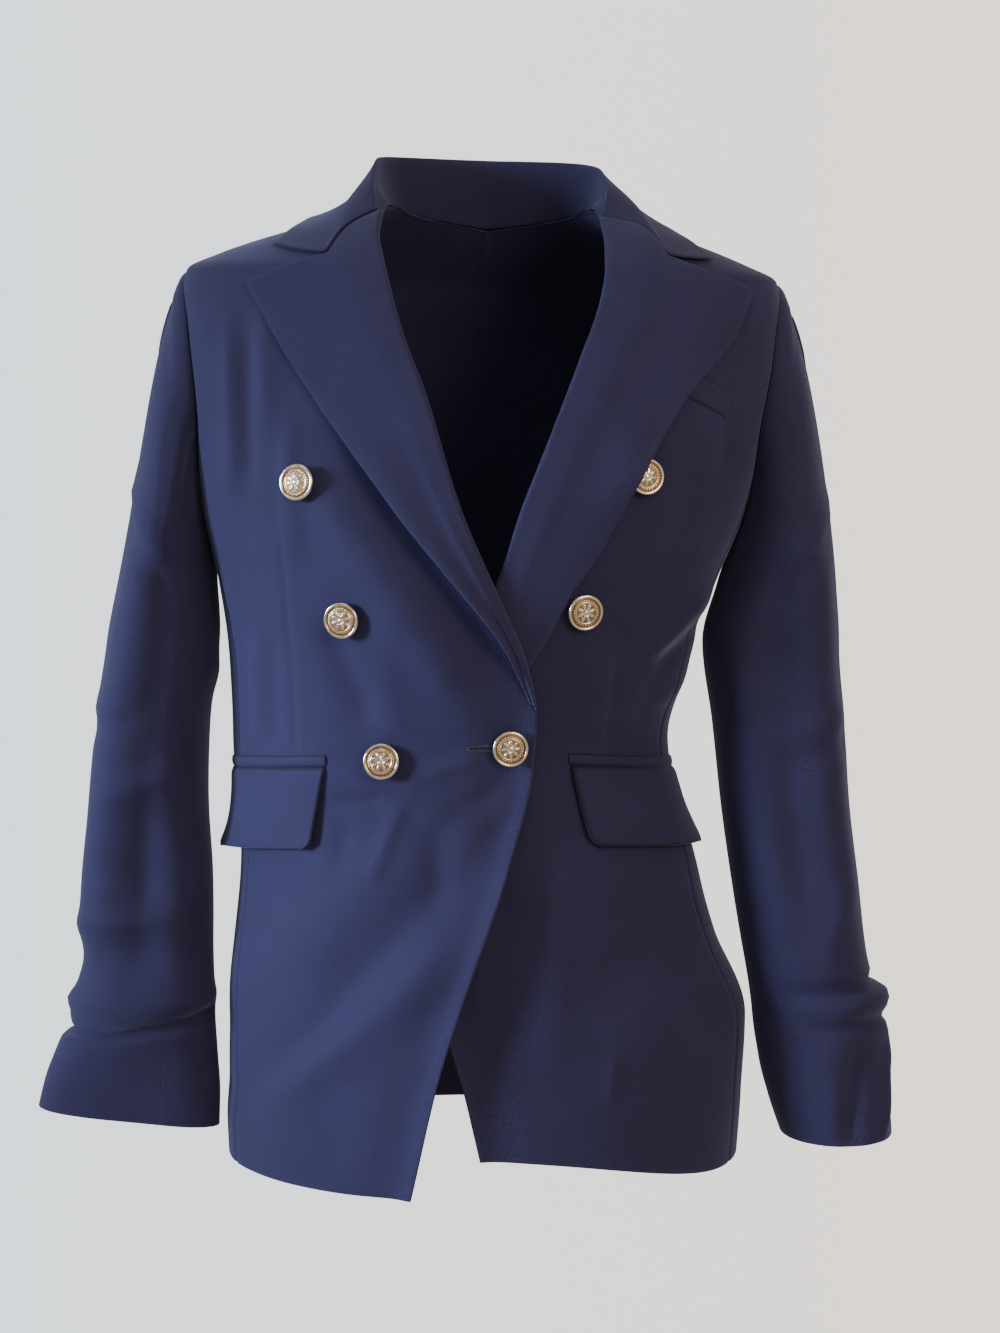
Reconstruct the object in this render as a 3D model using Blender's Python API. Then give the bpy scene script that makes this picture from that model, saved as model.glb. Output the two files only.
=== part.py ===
"""Double breasted blazer, hollow and open, in the shape it keeps when it is worn.

Frame: +X to the wearer's left, -Y to the front, +Z up, metres. The origin is the middle of
the neck opening, level with the tops of the shoulder seams, where the wearer holds it up.

Every body panel is a wall of cloth on one form, the torso. The torso is read from a short
table of level sections: a half width, a front and a back depth, a sideways shift and a
fullness for each height. A place on it is a pair (q, z): q is the quarter turn round the
body, 0 at the centre front, 1 at the wearer's left side, -1 at the right side and 2 at the
centre back, and z is the height. Lapels, welts, flaps and buttons take their points from
the same form, moved out. Sleeves are lofted from the armhole through a table of rings.
"""
import math
from collections import namedtuple

import bpy
import numpy as np
from mathutils import Matrix, Vector

# ---------------------------------------------------------------- driving dimensions
MM = 0.001
CLOTH = 1.5 * MM              # thickness of a wall of cloth
SEAM = 0.3 * MM               # clear gap between two pieces at a seam
SHOULDER_Z = -0.048           # the shoulder point, where the shoulder seam meets the sleeve
UNDERARM_Z = -0.205           # the lowest point of the armhole
ARMHOLE_FRONT = 0.050         # how far the armhole reaches forward of the shoulder seam
ARMHOLE_BACK = 0.056          # and how far behind it
ARMHOLE_OVAL = 1.25           # above 1 the armhole is a little pointed at its top and bottom
ARM_MID = 0.5 * (SHOULDER_Z + UNDERARM_Z)
ARM_HALF = 0.5 * (SHOULDER_Z - UNDERARM_Z)
SIDE_FRONT_TOP = -0.178       # where the side panel's front seam meets the armhole
SIDE_BACK_TOP = -0.165        # where its back seam meets the armhole
SHOULDER_TILT = 0.022         # the wearer's left shoulder hangs lower by this slope
TILT_TOP, TILT_END = -0.10, -0.36

BUTTON_RADIUS = 11.5 * MM
BUTTON_HEIGHT = 4.6 * MM
SHANK_RADIUS = 2.5 * MM
SHANK_HEIGHT = 2.6 * MM

Section = namedtuple("Section", "z half_width front back shift fullness")
SECTIONS = [
    Section(-0.660, 0.1735, 0.124, 0.120, 0.0000, 0.80),
    Section(-0.600, 0.1765, 0.121, 0.117, 0.0010, 0.80),
    Section(-0.545, 0.1765, 0.117, 0.112, 0.0035, 0.80),
    Section(-0.490, 0.1640, 0.113, 0.104, -0.0050, 0.82),
    Section(-0.435, 0.1540, 0.110, 0.092, -0.0100, 0.85),
    Section(-0.395, 0.1490, 0.108, 0.085, -0.0170, 0.88),
    Section(-0.355, 0.1475, 0.108, 0.081, -0.0215, 0.90),
    Section(-0.320, 0.1520, 0.112, 0.084, -0.0175, 0.88),
    Section(-0.285, 0.1590, 0.118, 0.090, -0.0125, 0.85),
    Section(-0.250, 0.1670, 0.121, 0.096, -0.0100, 0.80),
    Section(-0.205, 0.1800, 0.120, 0.101, -0.0060, 0.72),
    Section(-0.150, 0.1900, 0.112, 0.103, -0.0020, 0.62),
    Section(-0.100, 0.1975, 0.100, 0.100, 0.0000, 0.58),
    Section(-0.065, 0.1985, 0.087, 0.094, 0.0000, 0.62),
    Section(-0.048, 0.1955, 0.078, 0.089, 0.0000, 0.68),
    Section(-0.038, 0.1760, 0.071, 0.084, 0.0000, 0.72),
    Section(-0.0275, 0.1490, 0.062, 0.077, 0.0010, 0.78),
    Section(-0.0145, 0.1090, 0.051, 0.068, 0.0030, 0.84),
    Section(0.000, 0.0720, 0.040, 0.057, 0.0060, 0.90),
    Section(0.030, 0.0660, 0.038, 0.055, 0.0060, 0.90),
]

# The front edge of each front, from the neck down the roll line and on to the hem.
Edge = namedtuple("Edge", "z x")
RIGHT_EDGE = [
    Edge(0.000, -0.0620), Edge(-0.022, -0.0680), Edge(-0.055, -0.0615), Edge(-0.095, -0.0500),
    Edge(-0.125, -0.0380), Edge(-0.195, -0.0160), Edge(-0.254, 0.0085), Edge(-0.300, 0.0270),
    Edge(-0.330, 0.0330), Edge(-0.370, 0.0300), Edge(-0.430, 0.0150), Edge(-0.500, -0.0075),
    Edge(-0.565, -0.0268), Edge(-0.640, -0.0435),
]
LEFT_EDGE = [
    Edge(0.000, 0.0740), Edge(-0.022, 0.0815), Edge(-0.040, 0.0820), Edge(-0.065, 0.0785),
    Edge(-0.095, 0.0680), Edge(-0.165, 0.0410), Edge(-0.200, 0.0270), Edge(-0.240, 0.0140),
    Edge(-0.265, 0.0020), Edge(-0.305, -0.0330), Edge(-0.345, -0.0670), Edge(-0.385, -0.0690),
    Edge(-0.450, -0.0480), Edge(-0.546, -0.0205), Edge(-0.577, -0.0140), Edge(-0.640, -0.0005),
]

# Heights of the rows that all body panels share, from the hem to the underarm.
LOW_LEVELS = [-0.640, -0.608, -0.575, -0.542, -0.510, -0.478, -0.445, -0.412, -0.380, -0.348,
              -0.316, -0.284, -0.252, -0.228]

Ring = namedtuple("Ring", "z out forward half_width half_depth rise")
RIGHT_RINGS = [
    Ring(-0.250, 0.2120, 0.000, 0.0325, 0.060, 0.000),
    Ring(-0.292, 0.2155, 0.002, 0.0375, 0.059, 0.000),
    Ring(-0.347, 0.2230, 0.005, 0.0384, 0.055, 0.000),
    Ring(-0.400, 0.2260, 0.009, 0.0402, 0.050, 0.000),
    Ring(-0.450, 0.2270, 0.013, 0.0440, 0.045, 0.000),
    Ring(-0.500, 0.2285, 0.017, 0.0460, 0.040, 0.000),
    Ring(-0.538, 0.2300, 0.020, 0.0480, 0.036, 0.000),
    Ring(-0.570, 0.2345, 0.022, 0.0545, 0.029, 0.003),
    Ring(-0.592, 0.2375, 0.024, 0.0590, 0.026, 0.005),
    Ring(-0.613, 0.2400, 0.026, 0.0610, 0.024, 0.007),
]
LEFT_RINGS = [
    Ring(-0.250, 0.1990, 0.000, 0.0395, 0.059, 0.000),
    Ring(-0.292, 0.1950, 0.002, 0.0460, 0.056, 0.000),
    Ring(-0.347, 0.2005, 0.005, 0.0447, 0.053, 0.000),
    Ring(-0.400, 0.2050, 0.009, 0.0435, 0.050, 0.000),
    Ring(-0.450, 0.2115, 0.013, 0.0430, 0.047, 0.000),
    Ring(-0.505, 0.2195, 0.017, 0.0418, 0.044, 0.000),
    Ring(-0.545, 0.2295, 0.020, 0.0460, 0.040, 0.000),
    Ring(-0.575, 0.2310, 0.022, 0.0430, 0.040, 0.000),
    Ring(-0.602, 0.2360, 0.024, 0.0410, 0.041, 0.000),
    Ring(-0.624, 0.2405, 0.026, 0.0380, 0.041, 0.000),
]


# ---------------------------------------------------------------- the form
def smooth_read(x, xs, ys):
    """Read a table at x along a monotone cubic through its rows, held level past its ends."""
    xs, ys = np.asarray(xs, float), np.asarray(ys, float)
    order = np.argsort(xs)
    xs, ys = xs[order], ys[order]
    step = np.diff(xs)
    slope = np.diff(ys) / step
    tangent = np.empty_like(ys)
    tangent[0], tangent[-1] = slope[0], slope[-1]
    product = slope[:-1] * slope[1:]
    total = slope[:-1] + slope[1:]
    tangent[1:-1] = np.where(product > 0, 2 * product / np.where(total == 0, 1, total), 0)
    x = np.clip(x, xs[0], xs[-1])
    i = np.clip(np.searchsorted(xs, x) - 1, 0, len(step) - 1)
    t = (x - xs[i]) / step[i]
    start = ys[i] * (1 + 2 * t) * (1 - t) ** 2 + tangent[i] * step[i] * t * (1 - t) ** 2
    return start + ys[i + 1] * t ** 2 * (3 - 2 * t) + tangent[i + 1] * step[i] * t ** 2 * (t - 1)


def section(column, z):
    """One column of the section table at the heights z."""
    return smooth_read(z, [row.z for row in SECTIONS], [getattr(row, column) for row in SECTIONS])


def ramp(value, start, end):
    """0 before start, 1 after end, and a smooth rise between."""
    t = np.clip((np.asarray(value, float) - start) / (end - start), 0, 1)
    return t * t * (3 - 2 * t)


def torso_bare(q, z):
    """Points of the torso form: x is the half width times the sine of the quarter turn q, and
    y is the front or back depth times its cosine raised to the fullness."""
    q, z = np.broadcast_arrays(np.asarray(q, float), np.asarray(z, float))
    turn = q * math.pi / 2
    depth = np.where(np.cos(turn) >= 0, -section("front", z), section("back", z))
    x = section("shift", z) + section("half_width", z) * np.sin(turn)
    y = depth * (np.abs(np.cos(turn)) + 1e-9) ** section("fullness", z)
    return np.stack([x, y, z], -1)


def torso(q, z, lift=0.0):
    """Points of the torso form at (q, z), moved out along its normal by lift."""
    q, z = np.broadcast_arrays(np.asarray(q, float), np.asarray(z, float))
    along = torso_bare(q + 0.004, z) - torso_bare(q - 0.004, z)
    up = torso_bare(q, z + 0.001) - torso_bare(q, z - 0.001)
    normal = np.cross(along, up)
    normal /= np.linalg.norm(normal, axis=-1, keepdims=True)
    return torso_bare(q, z) + normal * np.asarray(lift)[..., None]


def quarter_at_x(x, z):
    """The front quarter turn at which the form passes the sideways place x."""
    ratio = (np.asarray(x) - section("shift", z)) / section("half_width", z)
    return np.arcsin(np.clip(ratio, -1, 1)) * 2 / math.pi


def lean(points):
    """The whole garment hangs with the wearer's left shoulder a little lower."""
    points = np.array(points, float)
    fade = ramp(points[..., 2], TILT_END, TILT_TOP)
    points[..., 2] -= SHOULDER_TILT * points[..., 0] * fade
    return points


def armhole(angle, side):
    """The armhole as places (q, z), by the angle from its top: positive to the front."""
    z = ARM_MID + ARM_HALF * np.cos(angle)
    ahead = np.sin(angle)
    reach = np.where(ahead > 0, ARMHOLE_FRONT, ARMHOLE_BACK) * np.abs(ahead) ** ARMHOLE_OVAL
    depth = np.where(ahead > 0, section("front", z), section("back", z))
    cosine = (reach / depth) ** (1 / section("fullness", z))
    from_side = np.arcsin(np.clip(cosine, 0, 1)) * 2 / math.pi
    return side * (1 - np.sign(ahead) * from_side), z


def armhole_angle(z):
    """The size of the armhole's angle at height z."""
    return np.arccos(np.clip((z - ARM_MID) / ARM_HALF, -1, 1))


# ---------------------------------------------------------------- meshes
def make_object(name, vertices, faces, material, smooth=True):
    """A new object from points and faces, with its material."""
    mesh = bpy.data.meshes.new(name)
    mesh.from_pydata([tuple(v) for v in vertices], [], faces)
    mesh.validate()
    obj = bpy.data.objects.new(name, mesh)
    bpy.context.scene.collection.objects.link(obj)
    mesh.materials.append(material)
    if smooth:
        mesh.shade_smooth()
    return obj


def wall(name, outer, inner, material):
    """A closed wall between two grids of points, whose first index goes up and whose second
    goes round, with the outer grid facing out."""
    rows, columns = outer.shape[:2]
    count = rows * columns
    faces = []
    for i in range(rows - 1):
        for j in range(columns - 1):
            a, b = i * columns + j, i * columns + j + 1
            c, d = b + columns, a + columns
            faces.append((a, b, c))
            faces.append((a, c, d))
            faces.append((count + c, count + b, count + a))
            faces.append((count + d, count + c, count + a))
    for j in range(columns - 1):
        a, top = j, (rows - 1) * columns + j
        faces.append((a + 1, a, count + a, count + a + 1))
        faces.append((top, top + 1, count + top + 1, count + top))
    for i in range(rows - 1):
        a, b = i * columns, i * columns + columns - 1
        faces.append((a, a + columns, count + a + columns, count + a))
        faces.append((b + columns, b, count + b, count + b + columns))
    vertices = np.concatenate([outer.reshape(-1, 3), inner.reshape(-1, 3)])
    return make_object(name, lean(vertices), faces, material)


def panel(name, q, z, material, lift=0.0, thickness=CLOTH):
    """A wall of cloth on the torso form: its outer face is lifted from the form by lift."""
    lift = np.broadcast_to(lift, np.broadcast(q, z).shape)
    return wall(name, torso(q, z, lift), torso(q, z, lift - thickness), material)


def cloth_material(name, colour, roughness):
    """A plain woven cloth."""
    material = bpy.data.materials.new(name)
    material.use_nodes = True
    shader = material.node_tree.nodes["Principled BSDF"]
    shader.inputs["Base Color"].default_value = (*colour, 1)
    shader.inputs["Roughness"].default_value = roughness
    return material


def metal_material(name, colour, roughness):
    """A plated metal."""
    material = cloth_material(name, colour, roughness)
    material.node_tree.nodes["Principled BSDF"].inputs["Metallic"].default_value = 1.0
    return material


# ---- pieces of the body ---------------------------------------------------------
SIDE_FRONT_Q = 0.80           # the side panel's front seam at the waist and hem
SIDE_BACK_Q = 1.24            # and its back seam
OVER_LIFT = 6.6 * MM          # the over front's outer face where it crosses the under front
LAPEL_GAP = 2.3 * MM          # a lapel's inner face above its front


def seam_gap_q(z):
    """Half a seam gap as a quarter turn, which is larger where the garment is narrow."""
    return 0.5 * SEAM / (section("half_width", z) * math.pi / 2 * 0.5)


def side_front_seam(z):
    """The quarter turn of the side panel's front seam at height z, below the armhole."""
    top_q, top_z = armhole(armhole_angle(SIDE_FRONT_TOP), 1)
    return top_q + (SIDE_FRONT_Q - top_q) * ramp(z, top_z, -0.34)


def side_back_seam(z):
    """The quarter turn of the side panel's back seam at height z, below the armhole."""
    top_q, top_z = armhole(-armhole_angle(SIDE_BACK_TOP), 1)
    return top_q + (SIDE_BACK_Q - top_q) * ramp(z, top_z, -0.34)


def body_levels(top_z, arm_rows, shoulder_levels):
    """Row heights from the hem to the neck: the shared levels, then rows that follow the
    armhole from top_z to the shoulder point, then the shoulder's own."""
    middle = 0.5 * (LOW_LEVELS[-1] + top_z)
    start = armhole_angle(top_z)
    arm = ARM_MID + ARM_HALF * np.cos(np.linspace(start, 0, arm_rows + 1))
    return np.array(LOW_LEVELS + [middle] + list(arm) + shoulder_levels)


def over_lift(q, z):
    """How far the over front's outer face stands off the form: it comes out over the under
    front and its folded lapel, and lies down again towards the side and the chest."""
    across = ramp(-np.abs(q), -0.72, -0.34)
    return OVER_LIFT * across * ramp(-np.asarray(z), 0.14, 0.25)


def flat_lift(q, z):
    """The under front's outer face lies on the form itself."""
    return 0.0 * q * z


def front_levels():
    """Heights of a front's rows of points."""
    return body_levels(SIDE_FRONT_TOP, 7, [-0.038, -0.025, -0.013, -0.005, -0.0015])


def on_front(q, z, lift_rule, off):
    """Points that lie off a front by a distance. A front is flat between its rows, so its
    surface is read straight between the two rows that the height z falls between."""
    levels = front_levels()
    i = np.clip(np.searchsorted(levels, z) - 1, 0, len(levels) - 2)
    low, high = levels[i], levels[i + 1]
    share = ((z - low) / (high - low))[..., None]
    surface = (torso(q, low, lift_rule(q, low)) * (1 - share)
               + torso(q, high, lift_rule(q, high)) * share)
    normal = torso(q, z, MM) - torso(q, z)
    normal /= np.linalg.norm(normal, axis=-1, keepdims=True)
    return surface + normal * np.asarray(off)[..., None]


def laid_on(name, side, q, z, lift_rule, off, thickness, material):
    """A wall of cloth that lies on a front, its inner face off the front by off."""
    off = np.broadcast_to(off, q.shape)
    if side < 0:
        q, z, off = q[:, ::-1], z[:, ::-1], off[:, ::-1]
    outer = on_front(q, z, lift_rule, off + thickness)
    return wall(name, outer, on_front(q, z, lift_rule, off), material)


def front(side, name, edge_table, material, lift_rule):
    """One front: from its edge round to the side panel's seam, the armhole and the shoulder."""
    z = front_levels()
    edge_x = smooth_read(z, [row.z for row in edge_table], [row.x for row in edge_table])
    inner_q = np.abs(quarter_at_x(edge_x, z)) * np.sign(quarter_at_x(edge_x, z)) * side
    arm_q, _ = armhole(armhole_angle(z), 1)
    outer_q = np.where(z < SIDE_FRONT_TOP, side_front_seam(z), arm_q)
    outer_q = np.where(z > SHOULDER_Z, 1.0, outer_q) - seam_gap_q(z)
    across = np.linspace(0, 1, 9)
    q = side * (inner_q[:, None] + (outer_q - inner_q)[:, None] * across)
    rows = np.repeat(z[:, None], len(across), 1)
    if side > 0:
        rise = 0.022 * ramp(-q, -0.75, 0.0) * ramp(-rows, 0.50, 0.64)
        rows = rows + rise
    if side < 0:
        q, rows = q[:, ::-1], rows[:, ::-1]
    return panel(name, q, rows, material, lift_rule(q, rows))


def side_panel(side, name, material):
    """The panel under the arm, from the hem up to the lower part of the armhole."""
    angle = np.linspace(armhole_angle(SIDE_FRONT_TOP), 2 * math.pi - armhole_angle(SIDE_BACK_TOP), 8)
    top_q, top_z = armhole(angle, 1)
    share = (top_q - top_q[0]) / (top_q[-1] - top_q[0])
    low = np.array(LOW_LEVELS)[:, None]
    gap = seam_gap_q(low)
    start, end = side_front_seam(low) + gap, side_back_seam(low) - gap
    low_q = start + (end - start) * share
    low_z = np.repeat(low, len(angle), 1)
    inset = seam_gap_q(top_z) * np.array([1] + [0] * (len(angle) - 2) + [-1])
    mid_z = 0.5 * (top_z + LOW_LEVELS[-1])
    mid_start, mid_end = side_front_seam(mid_z[0]), side_back_seam(mid_z[-1])
    mid_q = mid_start + (mid_end - mid_start) * share + inset
    q = np.concatenate([low_q, mid_q[None], (top_q + inset)[None]])
    z = np.concatenate([low_z, mid_z[None], top_z[None]])
    q = side * q
    if side < 0:
        q, z = q[:, ::-1], z[:, ::-1]
    return panel(name, q, z, material)


Neck = namedtuple("Neck", "q z")
BACK_NECK = [Neck(1.00, 0.0000), Neck(1.30, -0.0015), Neck(1.66, -0.0070), Neck(2.00, -0.0130)]


def back_neck_q(z):
    """The quarter turn where the back neck seam passes height z."""
    return smooth_read(z, [row.z for row in BACK_NECK], [row.q for row in BACK_NECK])


def back(side, name, material):
    """Half of the back, from the side panel's seam to the middle seam."""
    z = body_levels(SIDE_BACK_TOP, 7, [-0.038, -0.025] + [row.z for row in BACK_NECK[:0:-1]])
    arm_q, _ = armhole(-armhole_angle(z), 1)
    side_q = np.where(z < SIDE_BACK_TOP, side_back_seam(z), arm_q)
    side_q = np.where(z > SHOULDER_Z, 1.0, side_q) + seam_gap_q(z)
    middle_q = np.where(z >= BACK_NECK[-1].z, back_neck_q(z), 2.0) - seam_gap_q(z)
    across = np.linspace(0, 1, 8)
    q = side * (side_q[:, None] + (middle_q - side_q)[:, None] * across)
    rows = np.repeat(z[:, None], len(across), 1)
    if side < 0:
        q, rows = q[:, ::-1], rows[:, ::-1]
    return panel(name, q, rows, material)


# ---- sleeves --------------------------------------------------------------------
SLEEVE_PITCH = 0.045          # length of the seam roll over the sleeve head


def ring_points(rings, side, angle, z):
    """Points of the sleeve's level rings: angle 0 is the outer side, 90 degrees the front."""
    def read(column):
        return smooth_read(z, [row.z for row in rings], [getattr(row, column) for row in rings])
    cosine, sine = np.cos(angle), np.sin(angle)
    x = read("out") + read("half_width") * cosine
    y = -read("forward") - read("half_depth") * sine
    return np.stack([side * x, y, z + read("rise") * cosine], -1)


def sleeve_start(side, angle):
    """The armhole's points, and the way the sleeve leaves each: straight on at the top and
    turned out of the body at the underarm."""
    q, z = armhole(angle, side)
    ahead_q, ahead_z = armhole(angle + 0.02, side)
    edge = torso(q, z)
    rim = torso(ahead_q, ahead_z) - edge
    normal = torso(q, z, 0.001) - edge
    normal /= np.linalg.norm(normal, axis=-1, keepdims=True)
    onward = np.cross(normal, rim) * side
    onward /= np.linalg.norm(onward, axis=-1, keepdims=True)
    turn = (0.62 * math.pi / 2) * (1 - np.cos(angle)) + 0.25
    direction = onward * np.cos(turn)[..., None] + normal * np.sin(turn)[..., None]
    return edge, direction, normal * np.cos(turn)[..., None] - onward * np.sin(turn)[..., None]


def sleeve(side, name, rings, first_angle, last_angle, columns, material):
    """A sleeve piece between two angles: cubic curves carry the armhole down to the first
    ring, and the table's rings go on to the cuff. One more column on each side gives true
    normals at the seams."""
    top_z = rings[0].z
    step = (last_angle - first_angle) / (columns - 1)
    columns += 2
    angle = np.linspace(first_angle - step, last_angle + step, columns)
    edge, direction, face_out = sleeve_start(side, angle)
    edge = edge + direction * SEAM
    ring = ring_points(rings, side, angle, np.full(columns, top_z))
    below = ring_points(rings, side, angle, np.full(columns, top_z - 0.01))
    down = (below - ring) / np.linalg.norm(below - ring, axis=-1, keepdims=True)
    span = np.linalg.norm(ring - edge, axis=-1)[:, None]
    leave = np.where(np.cos(angle)[:, None] > 0, SLEEVE_PITCH + 0.3 * span, 0.25 * span)
    rows = []
    for t in (0.0, 0.06, 0.16, 0.32, 0.52, 0.76):
        rows.append(edge * (1 + 2 * t) * (1 - t) ** 2 + direction * leave * t * (1 - t) ** 2
                    + ring * t * t * (3 - 2 * t) + down * span * t * t * (t - 1))
    for z in np.linspace(top_z, rings[-1].z, 12):
        rows.append(ring_points(rings, side, angle, np.full(columns, z)))
    outer = np.array(rows)[::-1]
    along = np.gradient(outer, axis=0)
    round_it = np.gradient(outer, axis=1)
    normal = np.cross(along, round_it) * side
    normal /= np.linalg.norm(normal, axis=-1, keepdims=True)
    normal[-1] = face_out
    inner = (outer - normal * CLOTH)[:, 1:-1]
    outer = outer[:, 1:-1]
    if side > 0:
        outer, inner = outer[:, ::-1], inner[:, ::-1]
    return wall(name, outer, inner, material)


# ---- lapels and collar ----------------------------------------------------------
def smooth_curve(points, count, spread=1.0):
    """Points on a smooth curve through a few: each coordinate is read along the chord length
    through the points, then the curve is shared out by its own length. With a spread above 1
    the points lie closer together towards the start."""
    points = np.asarray(points, float)
    chord = np.append(0, np.cumsum(np.linalg.norm(np.diff(points, axis=0), axis=1)))
    dense_at = np.linspace(0, chord[-1], 160)
    dense = np.stack([smooth_read(dense_at, chord, column) for column in points.T], -1)
    length = np.append(0, np.cumsum(np.linalg.norm(np.diff(dense, axis=0), axis=1)))
    at = length[-1] * np.linspace(0, 1, count) ** spread
    return np.stack([np.interp(at, length, column) for column in dense.T], -1)


def bent_curve(first, second, count, corner):
    """Two smooth curves that meet at a corner, with the corner at point number corner."""
    return np.concatenate([smooth_curve(first, corner + 1), smooth_curve(second, count - corner)[1:]])


def stretch_between(top, bottom, inner, outer):
    """A grid that fills four edge curves: the blend of the two pairs of opposite edges, less
    the blend of the four corners."""
    u = np.linspace(0, 1, len(top))[None, :, None]
    v = np.linspace(0, 1, len(inner))[:, None, None]
    across = (1 - u) * inner[:, None] + u * outer[:, None]
    along = (1 - v) * top[None] + v * bottom[None]
    corners = ((1 - u) * (1 - v) * top[0] + u * (1 - v) * top[-1]
               + (1 - u) * v * bottom[0] + u * v * bottom[-1])
    return across + along - corners


# Outlines seen from the front, as (x, z): the gorge seam from the roll line to the notch, the
# lapel's top edge from the notch to its peak, its outer edge from the peak down to the break,
# and the collar's end from the notch to the collar's point.
RIGHT_GORGE = [(-0.0695, -0.0120), (-0.0835, -0.0205), (-0.0935, -0.0310), (-0.1000, -0.0415)]
RIGHT_PEAK = [(-0.1000, -0.0415), (-0.1130, -0.0450), (-0.1320, -0.0510), (-0.1490, -0.0595)]
RIGHT_LAPEL = [(-0.1490, -0.0595), (-0.1380, -0.0790), (-0.1145, -0.1165), (-0.0825, -0.1605),
               (-0.0505, -0.2020), (-0.0195, -0.2400), (0.0120, -0.2800), (0.0300, -0.3190)]
RIGHT_COLLAR_END = [(-0.1000, -0.0410), (-0.1165, -0.0385), (-0.1335, -0.0350)]
LEFT_GORGE = [(0.0800, -0.0130), (0.0990, -0.0170), (0.1120, -0.0255), (0.1200, -0.0380)]
LEFT_PEAK = [(0.1200, -0.0380), (0.1400, -0.0450), (0.1620, -0.0515), (0.1735, -0.0570)]
LEFT_LAPEL = [(0.1735, -0.0570), (0.1625, -0.0850), (0.1325, -0.1210), (0.1065, -0.1625),
              (0.0740, -0.2240), (0.0560, -0.2500), (0.0400, -0.2800), (0.0200, -0.3080),
              (-0.0300, -0.3340), (-0.0640, -0.3440)]
LEFT_COLLAR_END = [(0.1200, -0.0372), (0.1345, -0.0385), (0.1490, -0.0385)]
GORGE_POINTS = 4              # steps along the gorge seam, the same on lapel and collar
LAPEL_SPREAD = 1.5            # a lapel's rows lie closer together towards its top
RIGHT_BREAK_Z = -0.3220
LEFT_BREAK_Z = -0.3410
COLLAR_GAP_DOWN = 1.0 * MM    # the collar's end is clear of the gorge seam by this
LAPEL_ROLL = 2.0 * MM         # how far a lapel puffs out beside its roll line
ROLL_GAP = 0.7 * MM           # a lapel's inner face above its front at the roll line
BULGE_HEIGHT = 8.4 * MM       # how far the left lapel bulges over the button it covers
BULGE_REACH = 0.026
LEFT_TOP_BUTTON = (0.1035, -0.1760)


def lapel_rise(x, z, across, puff_end, button):
    """A lapel's inner face over its front: tight at the roll line, puffed out beside it, and
    bulging over a button that it covers."""
    rise = ROLL_GAP + (LAPEL_GAP - ROLL_GAP) * ramp(across, 0.0, 0.2)
    puff = np.sin(math.pi * np.sqrt(np.clip(across, 0, 1))) * ramp(z, puff_end, puff_end + 0.06)
    rise = rise + LAPEL_ROLL * puff
    if button:
        near = ((x - button[0]) ** 2 + (z - button[1]) ** 2) / BULGE_REACH ** 2
        rise = rise + BULGE_HEIGHT * np.exp(-near)
    return rise


def lapel(side, name, edge_table, gorge, peak, outline, break_z, lift_rule, puff_end, button, material):
    """A peak lapel: the outline seen from the front, laid on its front and folded out."""
    rows, columns = 18, 9
    top = bent_curve(gorge, peak, columns, GORGE_POINTS)
    outer = smooth_curve(outline, rows, LAPEL_SPREAD)
    heights = np.linspace(top[0, 1], break_z, rows)
    edge_x = smooth_read(heights, [row.z for row in edge_table], [row.x for row in edge_table])
    inner = smooth_curve(np.stack([edge_x, heights], -1), rows, LAPEL_SPREAD)
    bottom = inner[-1] + (outer[-1] - inner[-1]) * np.linspace(0, 1, columns)[:, None]
    flat = stretch_between(top, bottom, inner, outer)[::-1]
    x, z = flat[..., 0], flat[..., 1]
    across = np.broadcast_to(np.linspace(0, 1, columns), x.shape)
    q = quarter_at_x(x, z)
    rise = lapel_rise(x, z, across, puff_end, button)
    return laid_on(name, side, q, z, lift_rule, rise, CLOTH, material)


def outside(points):
    """How far points lie outside the torso form, nearly, and the way straight out of it."""
    def level(p):
        z = p[..., 2]
        across = (p[..., 0] - section("shift", z)) / section("half_width", z)
        depth = np.where(p[..., 1] < 0, section("front", z), section("back", z))
        return across ** 2 + (np.abs(p[..., 1]) / depth) ** (2 / section("fullness", z)) - 1
    step = 0.0005
    slope = np.stack([(level(points + step * axis) - level(points - step * axis)) / (2 * step)
                      for axis in np.eye(3)], -1)
    size = np.linalg.norm(slope, axis=-1, keepdims=True)
    return level(points) / size[..., 0], slope / size


def lay_over(points, gap):
    """Points moved straight out of the torso form until they clear it by the gap."""
    for _ in range(6):
        distance, out = outside(points)
        points = points + out * np.clip(gap - distance, 0, 0.01)[..., None]
    return points


# The collar from a front end round to the centre back: its fold line and its outer edge.
Collar = namedtuple("Collar", "fold edge")
RIGHT_COLLAR = [
    Collar((-0.0695, -0.0350, -0.0120), (-0.1335, -0.0480, -0.0350)),
    Collar((-0.0725, -0.0180, 0.0100), (-0.1225, -0.0250, -0.0220)),
    Collar((-0.0705, 0.0060, 0.0275), (-0.1100, 0.0020, -0.0110)),
    Collar((-0.0590, 0.0340, 0.0310), (-0.0920, 0.0400, -0.0140)),
    Collar((-0.0300, 0.0540, 0.0320), (-0.0500, 0.0680, -0.0200)),
    Collar((0.0050, 0.0610, 0.0320), (0.0050, 0.0760, -0.0230)),
]
LEFT_COLLAR = [
    Collar((0.0800, -0.0380, -0.0130), (0.1490, -0.0500, -0.0385)),
    Collar((0.0830, -0.0190, 0.0070), (0.1340, -0.0250, -0.0240)),
    Collar((0.0800, 0.0060, 0.0230), (0.1180, 0.0020, -0.0115)),
    Collar((0.0680, 0.0340, 0.0290), (0.1000, 0.0400, -0.0140)),
    Collar((0.0400, 0.0540, 0.0315), (0.0600, 0.0680, -0.0200)),
    Collar((0.0050, 0.0610, 0.0320), (0.0050, 0.0760, -0.0230)),
]
RIGHT_KNEE = (0.34, 0.34, 0.68)          # where the fall bends, as shares of the way from the
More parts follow.
